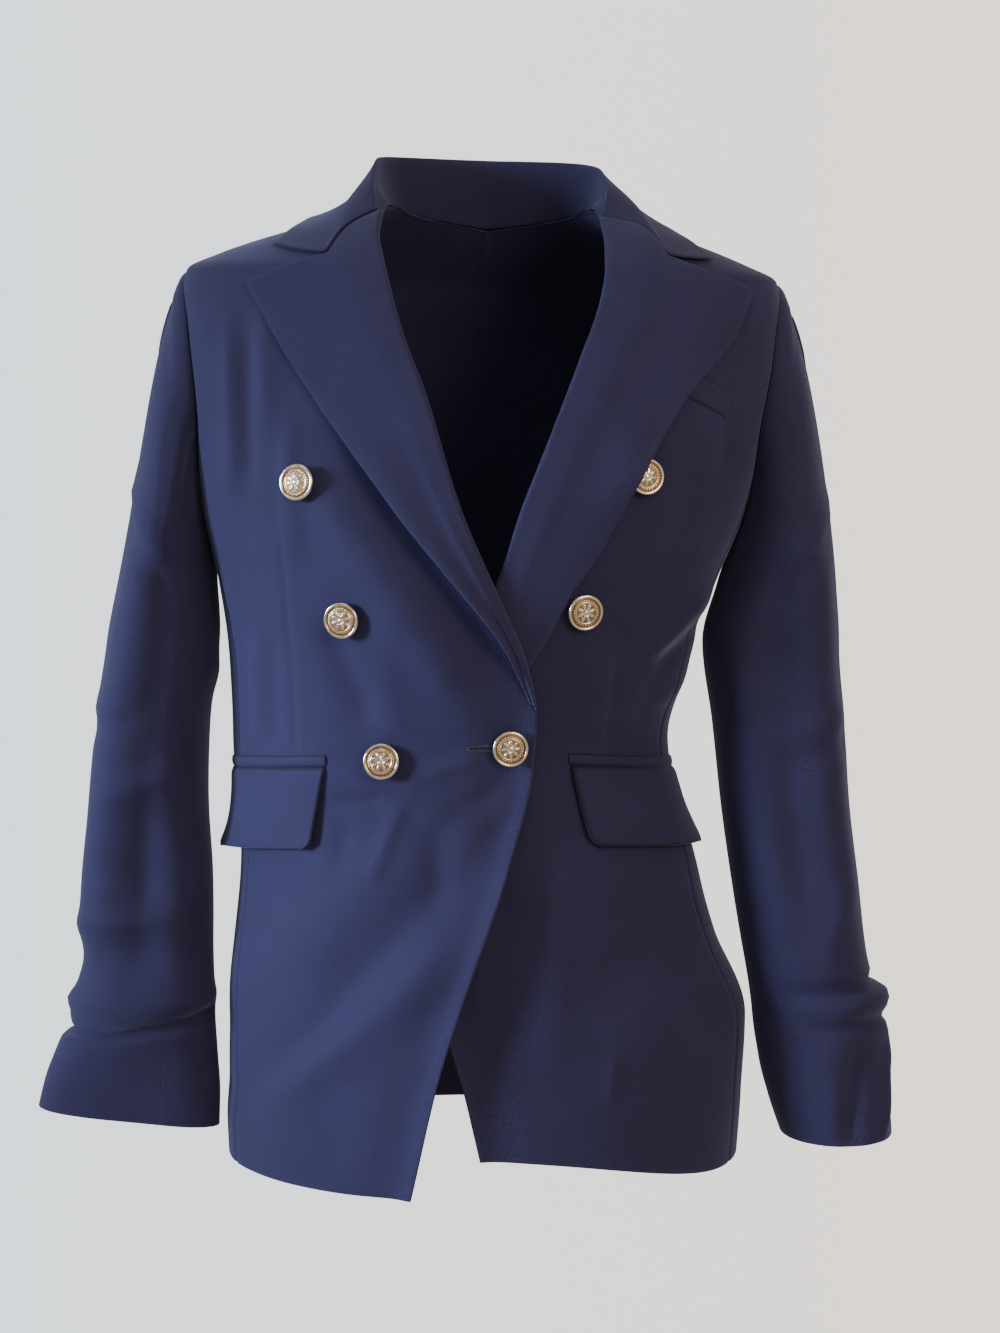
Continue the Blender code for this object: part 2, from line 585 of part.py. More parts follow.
LEFT_KNEE = (0.52, 0.52, 0.62)           # fold line to the outer edge
COLLAR_STATIONS = 10
COLLAR_COLUMNS = 8
END_REACH = 0.5               # how far round the collar the shape of its end fades out


def collar_half(rows, gorge, end, knee_share):
    """The outer face of half a collar, from its front end to the centre back, with the fold
    line first in each row."""
    fold = smooth_curve([row.fold for row in rows], COLLAR_STATIONS)[:, None]
    edge = smooth_curve([row.edge for row in rows], COLLAR_STATIONS)[:, None]
    u = np.linspace(0, 1, COLLAR_COLUMNS)[None, :, None]
    knee = fold + (edge - fold) * np.array(knee_share)
    sheet = fold * (1 - u) ** 2 + knee * 2 * u * (1 - u) + edge * u ** 2
    outline = bent_curve(gorge, end, COLLAR_COLUMNS, GORGE_POINTS)
    x, z = outline[:, 0], outline[:, 1] + COLLAR_GAP_DOWN
    q = quarter_at_x(x, z)
    across = np.append(np.linspace(0, 0.5, GORGE_POINTS + 1),
                       np.linspace(0.5, 1, COLLAR_COLUMNS - GORGE_POINTS)[1:])
    puff = LAPEL_ROLL * np.sin(math.pi * np.sqrt(across))
    front_end = on_front(q, z, flat_lift, LAPEL_GAP + CLOTH + puff)
    fade = np.clip(1 - np.linspace(0, 1, COLLAR_STATIONS) / END_REACH, 0, 1) ** 2
    sheet = sheet + (front_end - sheet[0]) * fade[:, None, None]
    return lay_over(sheet, LAPEL_GAP + CLOTH)


def collar_fall(name, material):
    """The collar's fall, from the wearer's left front end round the back to the right one."""
    left = collar_half(LEFT_COLLAR, LEFT_GORGE, LEFT_COLLAR_END, LEFT_KNEE)
    right = collar_half(RIGHT_COLLAR, RIGHT_GORGE, RIGHT_COLLAR_END, RIGHT_KNEE)
    outer = np.concatenate([left, right[-2::-1]]).transpose(1, 0, 2)[::-1]
    normal = np.cross(np.gradient(outer, axis=1), np.gradient(outer, axis=0))
    normal /= np.linalg.norm(normal, axis=-1, keepdims=True)
    return wall(name, outer, outer - normal * CLOTH, material)


STAND_DROP = 2.4 * MM         # the stand ends this far below the fold line, inside it
STAND_INSET = 2.2 * MM
STAND_CLEAR = 1.1 * MM        # its foot stands inside and above the neck seam by this
NECK_MIDDLE = (0.005, 0.010, 0.0)


def stand_half(side, rows, edge_table):
    """Points at the foot and the top of half the collar stand, from the front to the back."""
    start_q = side * quarter_at_x(edge_table[0].x, 0.0)
    foot = [torso(side * q, 0.0) for q in np.linspace(start_q, 1.0, 4)[:-1]]
    foot += [torso(side * row.q, row.z) for row in BACK_NECK]
    foot = smooth_curve(foot, COLLAR_STATIONS)
    top = smooth_curve([row.fold for row in rows[1:]], COLLAR_STATIONS)
    inward = np.array(NECK_MIDDLE) - top
    inward[:, 2] = 0
    inward /= np.linalg.norm(inward, axis=1, keepdims=True)
    foot = foot + inward * STAND_CLEAR + [0, 0, STAND_CLEAR]
    return foot, top + inward * STAND_INSET - [0, 0, STAND_DROP]


def collar_stand(name, material):
    """The stand that carries the collar round the neck, inside its fold."""
    left = stand_half(1, LEFT_COLLAR, LEFT_EDGE)
    right = stand_half(-1, RIGHT_COLLAR, RIGHT_EDGE)
    foot, top = (np.concatenate([a, b[-2::-1]]) for a, b in zip(left, right))
    share = np.linspace(0, 1, 4)[:, None, None]
    outer = foot * (1 - share) + top * share
    normal = np.cross(np.gradient(outer, axis=1), np.gradient(outer, axis=0))
    normal /= np.linalg.norm(normal, axis=-1, keepdims=True)
    return wall(name, outer, outer - normal * CLOTH, material)


# ---- pockets and buttons --------------------------------------------------------
Pocket = namedtuple("Pocket", "top_in top_out low_in low_out flare")
RIGHT_POCKET = Pocket(0.352, 0.930, 0.425, 0.935, 9.0 * MM)
LEFT_POCKET = Pocket(0.360, 0.930, 0.374, 0.960, 2.0 * MM)
POCKET_Z = -0.3635            # the flap's top at its front end
POCKET_FALL = 0.021           # how far the pocket line drops per quarter turn towards the side
FLAP_DEPTH = 0.052
JET_DEPTH = 0.0072            # the narrow jet that shows above the flap
TRIM = 1.1 * MM               # wall of the jets and the breast welt
TRIM_GAP = 0.6 * MM           # their gap to the front, which is made of flat facets


def pocket_line(q):
    """Height of the top of the flap at the quarter turn q."""
    return POCKET_Z - POCKET_FALL * (np.abs(q) - LEFT_POCKET.top_in)


def pocket_flap(side, name, shape, lift_rule, material):
    """A flap from its pocket line down, standing off the front more towards its lower edge."""
    across = np.linspace(0, 1, 12)[None]
    down = np.linspace(1, 0, 4)[:, None]
    start = shape.top_in + (shape.low_in - shape.top_in) * down
    end = shape.top_out + (shape.low_out - shape.top_out) * down
    q = side * (start + (end - start) * across)
    z = pocket_line(q) - SEAM - FLAP_DEPTH * down
    off = TRIM_GAP + 2.6 * MM * down + shape.flare * (down * across) ** 3
    return laid_on(name, side, q, z, lift_rule, off, CLOTH, material)


def pocket_jet(side, name, shape, lift_rule, material):
    """The jet above a flap: a narrow strip along the pocket line."""
    q = side * np.linspace(shape.top_in - 0.006, shape.top_out + 0.004, 14)[None]
    z = pocket_line(q) + SEAM + JET_DEPTH * np.array([0.0, 1.0])[:, None]
    return laid_on(name, side, np.repeat(q, 2, 0), z, lift_rule, TRIM_GAP, TRIM, material)


BREAST_INNER = (0.0860, -0.1035)         # the welt's lower edge as seen from the front
BREAST_OUTER = (0.1580, -0.1380)
BREAST_DEPTH = 0.0170


def breast_welt(name, material):
    """The welt of the breast pocket, on the wearer's left, its inner part under the lapel."""
    share = np.linspace(0, 1, 9)[None]
    up = np.array([0.0, 1.0])[:, None]
    x = BREAST_INNER[0] + (BREAST_OUTER[0] - BREAST_INNER[0]) * share + 0.002 * up * share
    z = BREAST_INNER[1] + (BREAST_OUTER[1] - BREAST_INNER[1]) * share + BREAST_DEPTH * up
    return laid_on(name, 1, quarter_at_x(x, z), z, flat_lift, TRIM_GAP, TRIM, material)


BUTTON_SIDES = 20
BUTTON_GAP = 0.5 * MM
BUTTON_PROFILE = [                       # (radius, height), from the shank's foot to the crown
    (SHANK_RADIUS, 0.0),
    (SHANK_RADIUS, SHANK_HEIGHT),
    (BUTTON_RADIUS - 1.6 * MM, SHANK_HEIGHT + 0.2 * MM),
    (BUTTON_RADIUS, SHANK_HEIGHT + 1.8 * MM),
    (BUTTON_RADIUS, SHANK_HEIGHT + 3.2 * MM),
    (BUTTON_RADIUS - 1.0 * MM, SHANK_HEIGHT + 4.0 * MM),
    (BUTTON_RADIUS - 2.4 * MM, SHANK_HEIGHT + 3.2 * MM),
    (0.5 * BUTTON_RADIUS, SHANK_HEIGHT + 4.2 * MM),
]

Button = namedtuple("Button", "name side x z")
BUTTONS = [
    Button("button_right_top", -1, -0.1120, -0.1840),
    Button("button_right_middle", -1, -0.0845, -0.2670),
    Button("button_right_low", -1, -0.0618, -0.3585),
    Button("button_left_top", 1, LEFT_TOP_BUTTON[0], LEFT_TOP_BUTTON[1]),
    Button("button_left_middle", 1, 0.0645, -0.2620),
    Button("button_fastened", -1, 0.0171, -0.3497),
]


def button(row, lift_rule, material):
    """A turned shank button that stands on its front, its axis straight out of the cloth."""
    q = quarter_at_x(row.x, row.z)
    foot = Vector(on_front(q, row.z, lift_rule, BUTTON_GAP))
    axis = Vector(on_front(q, row.z, lift_rule, BUTTON_GAP + MM)) - foot
    place = Matrix.Translation(foot) @ axis.to_track_quat("Z", "Y").to_matrix().to_4x4()
    vertices = [place @ Vector((0, 0, 0))]
    for radius, height in BUTTON_PROFILE:
        for k in range(BUTTON_SIDES):
            turn = 2 * math.pi * k / BUTTON_SIDES
            vertices.append(place @ Vector((radius * math.cos(turn), radius * math.sin(turn), height)))
    vertices.append(place @ Vector((0, 0, SHANK_HEIGHT + BUTTON_HEIGHT)))
    last = len(vertices) - 1
    faces = []
    for k in range(BUTTON_SIDES):
        after = (k + 1) % BUTTON_SIDES
        faces.append((0, 1 + after, 1 + k))
        for ring in range(len(BUTTON_PROFILE) - 1):
            low, high = 1 + ring * BUTTON_SIDES, 1 + (ring + 1) * BUTTON_SIDES
            faces.append((low + k, low + after, high + after, high + k))
        top = 1 + (len(BUTTON_PROFILE) - 1) * BUTTON_SIDES
        faces.append((top + k, top + after, last))
    return make_object(row.name, lean([tuple(v) for v in vertices]), faces, material)


# ---------------------------------------------------------------- the garment
for leftover in list(bpy.data.objects):
    bpy.data.objects.remove(leftover, do_unlink=True)

navy = cloth_material("navy_wool", (0.021, 0.025, 0.075), 0.82)

front(-1, "front_right", RIGHT_EDGE, navy, over_lift)
front(1, "front_left", LEFT_EDGE, navy, flat_lift)
for side, word in ((-1, "right"), (1, "left")):
    side_panel(side, f"side_panel_{word}", navy)
    back(side, f"back_{word}", navy)

FRONT_SEAM_ANGLE = math.radians(112)     # the sleeve's front seam, round from the outer side
BACK_SEAM_ANGLE = math.radians(250)      # and its back seam
for side, word, rings in ((-1, "right", RIGHT_RINGS), (1, "left", LEFT_RINGS)):
    gap = math.radians(0.3)
    sleeve(side, f"top_sleeve_{word}", rings, BACK_SEAM_ANGLE - 2 * math.pi + gap,
           FRONT_SEAM_ANGLE - gap, 13, navy)
    sleeve(side, f"under_sleeve_{word}", rings, FRONT_SEAM_ANGLE + gap, BACK_SEAM_ANGLE - gap,
           8, navy)

lapel(-1, "lapel_right", RIGHT_EDGE, RIGHT_GORGE, RIGHT_PEAK, RIGHT_LAPEL, RIGHT_BREAK_Z,
      over_lift, -0.30, None, navy)
lapel(1, "lapel_left", LEFT_EDGE, LEFT_GORGE, LEFT_PEAK, LEFT_LAPEL, LEFT_BREAK_Z,
      flat_lift, -0.24, LEFT_TOP_BUTTON, navy)
collar_fall("collar", navy)
collar_stand("collar_stand", navy)
for side, word, shape, rule in ((-1, "right", RIGHT_POCKET, over_lift), (1, "left", LEFT_POCKET, flat_lift)):
    pocket_flap(side, f"flap_{word}", shape, rule, navy)
    pocket_jet(side, f"jet_{word}", shape, rule, navy)
breast_welt("breast_welt", navy)

gilt = metal_material("gilt", (0.83, 0.62, 0.36), 0.28)
for row in BUTTONS:
    button(row, over_lift if row.side < 0 else flat_lift, gilt)
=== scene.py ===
# %% [markdown]
# # A double breasted blazer, in Blender
# This lesson builds a tailored navy blazer in the hollow shape it keeps when it is worn. The
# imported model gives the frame: the size, the origin in the middle of the neck, and one solid
# for each cut piece. Here each of those solids gets a fine thin shell with its folds, seams
# and rolled edges, a woven finish, and light to see it by. Everything is in metres, +X is the
# wearer's left, -Y is the front and +Z is up.

# %% The frame
import math
from collections import namedtuple

import bpy
import numpy as np
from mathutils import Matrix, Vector


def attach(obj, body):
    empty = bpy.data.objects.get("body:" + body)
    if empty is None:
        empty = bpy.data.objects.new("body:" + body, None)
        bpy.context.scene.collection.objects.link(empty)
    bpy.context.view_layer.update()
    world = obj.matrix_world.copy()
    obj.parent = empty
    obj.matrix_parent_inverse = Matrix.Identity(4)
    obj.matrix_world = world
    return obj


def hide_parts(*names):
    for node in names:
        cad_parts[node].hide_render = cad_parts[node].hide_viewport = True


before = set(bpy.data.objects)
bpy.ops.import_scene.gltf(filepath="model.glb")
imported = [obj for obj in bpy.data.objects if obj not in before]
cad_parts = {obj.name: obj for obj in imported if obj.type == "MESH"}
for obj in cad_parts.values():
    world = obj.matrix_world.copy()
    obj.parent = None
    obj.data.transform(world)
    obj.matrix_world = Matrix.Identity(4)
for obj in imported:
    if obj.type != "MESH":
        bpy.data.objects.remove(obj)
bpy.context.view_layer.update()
MM = 0.001

# %% [markdown]
# ## Reading a short table smoothly
# A pattern cutter writes down a few measures at a few heights, and the cloth runs smoothly
# through them. So the form is a short table too, read along a monotone cubic, which never
# swings past the rows that it joins.

# %% A smooth reading, a table in millimetres and a smooth ramp
def smooth_read(x, xs, ys):
    """Monotone cubic through (xs, ys): Hermite pieces whose slopes are the harmonic means of
    the neighbouring chords, or 0 where they change sign; held level past the ends."""
    order = np.argsort(xs)
    xs, ys = np.asarray(xs, float)[order], np.asarray(ys, float)[order]
    step = np.diff(xs)
    slope = np.diff(ys) / step
    product, total = slope[:-1] * slope[1:], slope[:-1] + slope[1:]
    tangent = np.empty_like(ys)
    tangent[0], tangent[-1] = slope[0], slope[-1]
    tangent[1:-1] = np.where(product > 0, 2 * product / np.where(total == 0, 1, total), 0)
    x = np.clip(x, xs[0], xs[-1])
    i = np.clip(np.searchsorted(xs, x) - 1, 0, len(step) - 1)
    t = (x - xs[i]) / step[i]
    start = ys[i] * (1 + 2 * t) * (1 - t) ** 2 + tangent[i] * step[i] * t * (1 - t) ** 2
    return start + ys[i + 1] * t ** 2 * (3 - 2 * t) + tangent[i + 1] * step[i] * t ** 2 * (t - 1)


def read_column(rows, column, z):
    """One column of a table of rows at the heights z."""
    return smooth_read(z, [row.z for row in rows], [getattr(row, column) for row in rows])


def table(kind, rows, plain=""):
    """Rows of a kind, from numbers in millimetres but for the columns that plain names."""
    return [kind(*(number if column in plain.split() else number / 1000
                   for column, number in zip(kind._fields, row))) for row in rows]


def ramp(value, start, end):
    """0 before start, 1 after end, and 3t^2 - 2t^3 between."""
    t = np.clip((np.asarray(value, float) - start) / (end - start), 0, 1)
    return t * t * (3 - 2 * t)


# %% [markdown]
# ## The form that the body pieces share
# The body is one tube of level sections: a half width, a front and a back depth, a sideways
# shift and a fullness. A place on it is (q, z), where q counts quarter turns from the centre
# front, 1 at the wearer's left side and 2 at the centre back. Two pieces that read the same
# place can never gap or cross, which is why every piece below asks this form where it is.

# %% The table of sections
Section = namedtuple("Section", "z half_width front back shift fullness")
SECTIONS = table(Section, [
    (-660, 173.5, 124, 120, 0, 0.80),
    (-600, 176.5, 121, 117, 1, 0.80),
    (-545, 176.5, 117, 112, 3.5, 0.80),
    (-490, 164, 113, 104, -5, 0.82),
    (-435, 154, 110, 92, -10, 0.85),
    (-395, 149, 108, 85, -17, 0.88),
    (-355, 147.5, 108, 81, -21.5, 0.90),
    (-320, 152, 112, 84, -17.5, 0.88),
    (-285, 159, 118, 90, -12.5, 0.85),
    (-250, 167, 121, 96, -10, 0.80),
    (-205, 180, 120, 101, -6, 0.72),
    (-150, 190, 112, 103, -2, 0.62),
    (-100, 197.5, 100, 100, 0, 0.58),
    (-65, 198.5, 87, 94, 0, 0.62),
    (-48, 195.5, 78, 89, 0, 0.68),
    (-38, 176, 71, 84, 0, 0.72),
    (-27.5, 149, 62, 77, 1, 0.78),
    (-14.5, 109, 51, 68, 3, 0.84),
    (0, 72, 40, 57, 6, 0.90),
    (30, 66, 38, 55, 6, 0.90),
], "fullness")


def form(z, columns):
    """The named columns of the table of sections at the heights z."""
    return [read_column(SECTIONS, column, z) for column in columns.split()]


def torso_bare(q, z):
    """x = shift + half width * sin(turn); y = depth * |cos(turn)| ** fullness, in front or behind."""
    q, z = np.broadcast_arrays(np.asarray(q, float), np.asarray(z, float))
    turn = q * math.pi / 2
    half_width, front, back, shift, fullness = form(z, "half_width front back shift fullness")
    depth = np.where(np.cos(turn) >= 0, -front, back)
    y = depth * (np.abs(np.cos(turn)) + 1e-9) ** fullness
    return np.stack([shift + half_width * np.sin(turn), y, z], -1)


def unit(vectors):
    """Vectors divided by their own length."""
    return vectors / np.maximum(np.linalg.norm(vectors, axis=-1, keepdims=True), 1e-12)


SLOPE_Q, SLOPE_Z = 0.004, 0.001       # half steps over which slopes are measured


def torso_normal(q, z):
    """The way out of the form: the cross product of its two slopes."""
    along = torso_bare(q + SLOPE_Q, z) - torso_bare(q - SLOPE_Q, z)
    return unit(np.cross(along, torso_bare(q, z + SLOPE_Z) - torso_bare(q, z - SLOPE_Z)))


def torso(q, z, lift=0.0):
    """A point of the form moved out along its normal by lift."""
    q, z = np.broadcast_arrays(np.asarray(q, float), np.asarray(z, float))
    return torso_bare(q, z) + torso_normal(q, z) * np.asarray(lift)[..., None]


def quarter_at_x(x, z):
    """The front quarter turn at which the form passes the sideways place x."""
    shift, half_width = form(z, "shift half_width")
    return np.arcsin(np.clip((np.asarray(x) - shift) / half_width, -1, 1)) * 2 / math.pi


SHOULDER_TILT = 0.022         # the wearer's left shoulder hangs lower by this slope
TILT_TOP, TILT_END = -0.10, -0.36


def lean(points):
    """The tilt of the shoulders: z falls with x, fading out below the chest."""
    points = np.array(points, float)
    points[..., 2] -= SHOULDER_TILT * points[..., 0] * ramp(points[..., 2], TILT_END, TILT_TOP)
    return points


print("form reads", np.round(torso(0.0, -0.35), 3).tolist(), "at the fastened button's height")

# %% [markdown]
# ## Folds placed one by one
# Wool suiting hangs in a few broad soft folds, not in many small ones. Each row of these
# tables is one fold, in millimetres: the two ends of its line as seen from the front or the
# back, how wide and how high it is, above 0 a ridge and below 0 a trough. The long diagonal pair low on the
# over front comes from the single fastened button, which pulls the cloth up towards it.

# %% The tables of folds
Fold = namedtuple("Fold", "x0 z0 x1 z1 width height")
RIGHT_FOLDS = table(Fold, [
    (-10, -425, -100, -528, 17, -3.4),
    (-85, -520, -175, -600, 12, -3),
    (-40, -405, -165, -530, 20, 2),
    (-5, -470, -140, -590, 17, 3.2),
    (-28, -400, -26, -460, 10, -1.6),
    (-96, -274, -66, -336, 10, -2.6),
    (-58, -262, -58, -345, 12, 1.3),
    (-123, -140, -117, -232, 8, 2.2),
    (-139, -70, -137, -160, 8, 2),
    (-151, -80, -149, -190, 7, -2.4),
    (-163, -85, -160, -200, 7, 2.2),
    (-147, -285, -144, -355, 8, 1.6),
    (-134, -275, -133, -352, 7, -1.2),
    (-115, -170, -4, -326, 16, 5.4),
    (-84, -150, 26, -308, 15, -5.2),
    (-94, -387, -62, -384, 4, -1.6),
    (-50, -384, -68, -436, 6, 1.6),
    (-86, -400, -88, -440, 7, -1.3),
    (-24, -398, 14, -372, 7, -0.8),
    (-14, -412, 20, -384, 7, 0.7),
    (-50, -372, 0, -356, 6, 1),
    (-100, -560, -90, -625, 14, -1.2),
    (-126, -215, -120, -295, 2.2, -0.8),
    (-120, -285, -117, -362, 2.2, -0.8),
])
LEFT_FOLDS = table(Fold, [
    (150, -256, 110, -292, 6, 2.6),
    (156, -272, 114, -306, 7, -3),
    (150, -305, 112, -330, 7, 1.4),
    (72, -285, 76, -350, 10, 1.6),
    (98, -300, 94, -350, 7, 1.2),
    (150, -455, 70, -520, 20, -1.8),
    (130, -430, 60, -450, 18, 1.5),
    (50, -420, 44, -560, 14, 2),
    (20, -400, 4, -560, 14, -2),
    (86, -550, 83, -585, 5, 0.9),
    (110, -130, 92, -240, 12, -1.2),
    (146, -120, 136, -240, 10, 1.4),
    (162, -80, 158, -180, 8, -1.4),
    (120, -560, 118, -630, 16, -1.2),
    (91, -270, 84, -325, 2.2, -0.8),
    (84, -315, 80, -362, 2.2, -0.8),
])
BACK_FOLDS = table(Fold, [
    (-155, -190, -110, -290, 10, -2.4),
    (-168, -215, -125, -300, 9, 2.2),
    (150, -185, 105, -275, 10, -2.2),
    (163, -205, 118, -310, 9, 2.4),
    (-110, -335, -30, -350, 8, -2),
    (-120, -356, -45, -366, 8, 2),
    (90, -330, 20, -342, 8, -1.8),
    (100, -352, 30, -360, 9, 2),
    (-60, -420, -85, -600, 20, 2.2),
    (-25, -440, -35, -620, 18, -2),
    (60, -430, 80, -610, 20, 2.4),
    (30, -450, 40, -620, 16, -1.6),
    (-150, -80, -135, -190, 10, 2),
    (150, -85, 132, -185, 10, 1.8),
    (-80, -50, 70, -52, 10, 0.9),
])


FOLD_GAIN = 1.35              # one factor on the height of every fold
FADE_IN = (-0.12, 0.25)       # share of a fold's length over which it grows


def fold_height(folds, x, z):
    """The sum of the folds: height * exp(-(distance to the line / width)^2), fading over the
    last quarter of the line at both ends, and all times FOLD_GAIN."""
    total = np.zeros(np.broadcast(x, z).shape)
    for fold in folds:
        along = np.array([fold.x1 - fold.x0, fold.z1 - fold.z0])
        length = np.hypot(*along)
        t = ((x - fold.x0) * along[0] + (z - fold.z0) * along[1]) / length ** 2
        aside = ((x - fold.x0) * along[1] - (z - fold.z0) * along[0]) / length
        fade = ramp(t, *FADE_IN) * ramp(1 - t, *FADE_IN)
        total = total + FOLD_GAIN * fold.height * np.exp(-(aside / fold.width) ** 2) * fade
    return total


FRONT_ENDS = (-1.16, -0.86)   # less the quarter turns between which back folds become front ones
SLOW_WAVE = 0.5 * MM


def front_share(q):
    """1 on the front, 0 on the back and smooth between, round the side."""
    return ramp(-np.abs(q), *FRONT_ENDS)


def relief(q, z):
    """Folds of the whole body: the front tables ahead of the side seams, the back's behind,
    and a slow wave over all of it."""
    x = torso_bare(q, z)[..., 0]
    ahead = np.where(np.asarray(q) < 0, fold_height(RIGHT_FOLDS, x, z), fold_height(LEFT_FOLDS, x, z))
    slow = SLOW_WAVE * np.sin(19 * x + 31 * z + 1.3) * np.sin(23 * z - 12 * x)
    return ahead * front_share(q) + fold_height(BACK_FOLDS, x, z) * (1 - front_share(q)) + slow


print("folds", len(RIGHT_FOLDS), len(LEFT_FOLDS), len(BACK_FOLDS))

# %% [markdown]
# ## Writing shader maths as plain expressions
# A material is a small graph. Wrapping one output socket in a class lets the graph be written
# as sums and products, and each operator adds its own Math node behind the scenes.

# %% A wrapped socket and a finish that collects nodes
class Value:
    """An output socket of a material. +, -, * and / on it add Math nodes."""

    def __init__(self, finish, socket):
        self.finish, self.socket = finish, socket

    def math(self, operation, *others):
        """A Math node with this value first and the others after it."""
        return self.finish.node("ShaderNodeMath", {"operation": operation},
                                dict(enumerate([self, *others])))

    def __add__(self, other):
        return self.math("ADD", other)

    def __sub__(self, other):
        return self.math("SUBTRACT", other)

    def __mul__(self, other):
        return self.math("MULTIPLY", other)

    def __truediv__(self, other):
        return self.math("DIVIDE", other)

    def __rsub__(self, other):
        return self.math("MULTIPLY", -1.0).math("ADD", other)

    __radd__, __rmul__ = __add__, __mul__

    def between(self, low, high):
        """0 below low, 1 above high, smooth between: a Map Range node."""
        return self.finish.node("ShaderNodeMapRange", {"interpolation_type": "SMOOTHSTEP"},
                                {"Value": self, "From Min": low, "From Max": high})


class Finish:
    """A material and its Principled shader."""

    def __init__(self, name, **constants):
        self.material = bpy.data.materials.new(name)
        self.material.use_nodes = True
        self.tree = self.material.node_tree
        self.shader = self.tree.nodes["Principled BSDF"]
        for socket, value in constants.items():
            self.shader.inputs[socket.replace("_", " ")].default_value = value

    def node(self, kind, settings=None, inputs=None, output=0):
        """A node of a kind: its settings first, then its sockets' values or links."""
        node = self.tree.nodes.new(kind)
        for setting, value in (settings or {}).items():
            if setting == "stops":
                for element, (place, grey) in zip(node.color_ramp.elements, value):
                    element.position, element.color = place, (grey, grey, grey, 1)
            else:
                setattr(node, setting, value)
        for socket, value in (inputs or {}).items():
            if isinstance(value, Value):
                self.tree.links.new(value.socket, node.inputs[socket])
            else:
                node.inputs[socket].default_value = value
        return Value(self, node.outputs[output])

    def mix(self, factor, first, second):
        """A Mix node on two colours."""
        return self.node("ShaderNodeMix", {"data_type": "RGBA"}, {0: factor, 6: first, 7: second}, 2)

    def feed(self, socket, value):
        """Links a value to one of the shader's sockets."""
        self.tree.links.new(value.socket, self.shader.inputs[socket])

    def noise(self, where, scale, detail=2.0, roughness=0.5):
        """Grey noise at so many bumps per metre."""
        return self.node("ShaderNodeTexNoise", {},
                         {"Vector": where, "Scale": scale, "Detail": detail, "Roughness": roughness})

    def bump(self, height, depth, strength=1.0):
        """A Bump node of that depth in metres, into the shader's Normal."""
        self.feed("Normal", self.node("ShaderNodeBump", {},
                                      {"Strength": strength, "Distance": depth, "Height": height}))


# %% [markdown]
# ## The wool
# Blazer suiting is a fine plain weave. From arm's length it reads as a soft, slightly mottled
# navy with a low sheen on the parts that turn away, so the yarns themselves stay faint. The
# weave runs on each piece's own map, which holds metres along the cloth, so the grain turns
# with the cut. Where a piece folds over at its edge the nap is rubbed, a little paler.
# In the gaps round flaps, jets and the breast welt the colour is painted nearly black, a painted shade for
# the shadow there.

# %% Navy suiting
NAVY_DEEP = (0.0150, 0.0125, 0.0370, 1)
NAVY_LIT = (0.0270, 0.0230, 0.0680, 1)
NAVY_RUBBED = (0.0340, 0.0310, 0.0820, 1)
PAINTED_CREVICE_SHADE = (0.0030, 0.0028, 0.0060, 1)
YARN_COUNT = 1500.0           # yarns to the metre
CLOTH_MAP = "cloth_metres"


def suiting(name, deep, lit, rubbed):
    """Plain weave: over-and-under waves from sin(pi u) * sin(pi v), broken up by slubs; the
    colour goes from deep to lit with a slow mottle and the weave, pales at the edges, and is
    darkened towards near-black as a painted shade in the gaps round flaps, jets and the welt."""
    finish = Finish(name, Specular_IOR_Level=0.30, Sheen_Weight=0.32, Sheen_Roughness=0.42,
                    Sheen_Tint=(0.62, 0.68, 1.0, 1))
    metres = finish.node("ShaderNodeUVMap", {"uv_map": CLOTH_MAP})
    place = finish.node("ShaderNodeTexCoord", output=3)
    across = finish.node("ShaderNodeSeparateXYZ", {}, {0: metres}, 0)
    along = finish.node("ShaderNodeSeparateXYZ", {}, {0: metres}, 1)
    waver = finish.noise(place, 90.0, 1.0)
    warp = (across * (math.pi * YARN_COUNT) + waver * 3.0).math("SINE")
    weft = (along * (math.pi * YARN_COUNT) + waver * 3.0).math("SINE")
    weave = warp * weft * 0.5 + 0.5
    slub = finish.noise(place, 620.0, 3.0, 0.65)
    mottle = finish.noise(place, 26.0, 3.0, 0.55)
    broad = finish.noise(place, 5.0, 1.0)
    tone = weave * 0.30 + slub * 0.85 + mottle * 0.45 + broad * 0.25 - 0.42
    colour = finish.mix(tone.between(0.05, 0.85), deep, lit)
    edge = finish.node("ShaderNodeAttribute", {"attribute_name": "edge_wear"}, output=2)
    wear = edge * (slub * 0.4 + 0.10)
    rubbed_cloth = finish.mix(wear.math("MINIMUM", 1.0), colour, rubbed)
    # Painted shade: the stored value darkens the cloth towards near-black in the gaps round flaps, jets and
    # the breast welt, for the shadow that falls there.
    painted_shade = finish.node("ShaderNodeAttribute", {"attribute_name": "crevice"}, output=2)
    finish.feed("Base Color", finish.mix(painted_shade.between(0.0, 1.0), rubbed_cloth, PAINTED_CREVICE_SHADE))
    finish.feed("Roughness", slub * 0.16 + mottle * 0.08 + 0.66)
    finish.bump(weave * 0.5 + slub * 0.8 + mottle * 0.8, 0.00030, 0.85)
    return finish.material


wool = suiting("navy_suiting", NAVY_DEEP, NAVY_LIT, NAVY_RUBBED)
print("finish", wool.name, "nodes", len(wool.node_tree.nodes))

# %% [markdown]
# ## The buttons' metal and the thread
# The buttons are pressed from thin brass with a pale gold plating. It is worn smooth on what
# stands proud and keeps a brown bloom in the hollows, so the finish is driven by how deep a
# point lies, which each button stores as an attribute.

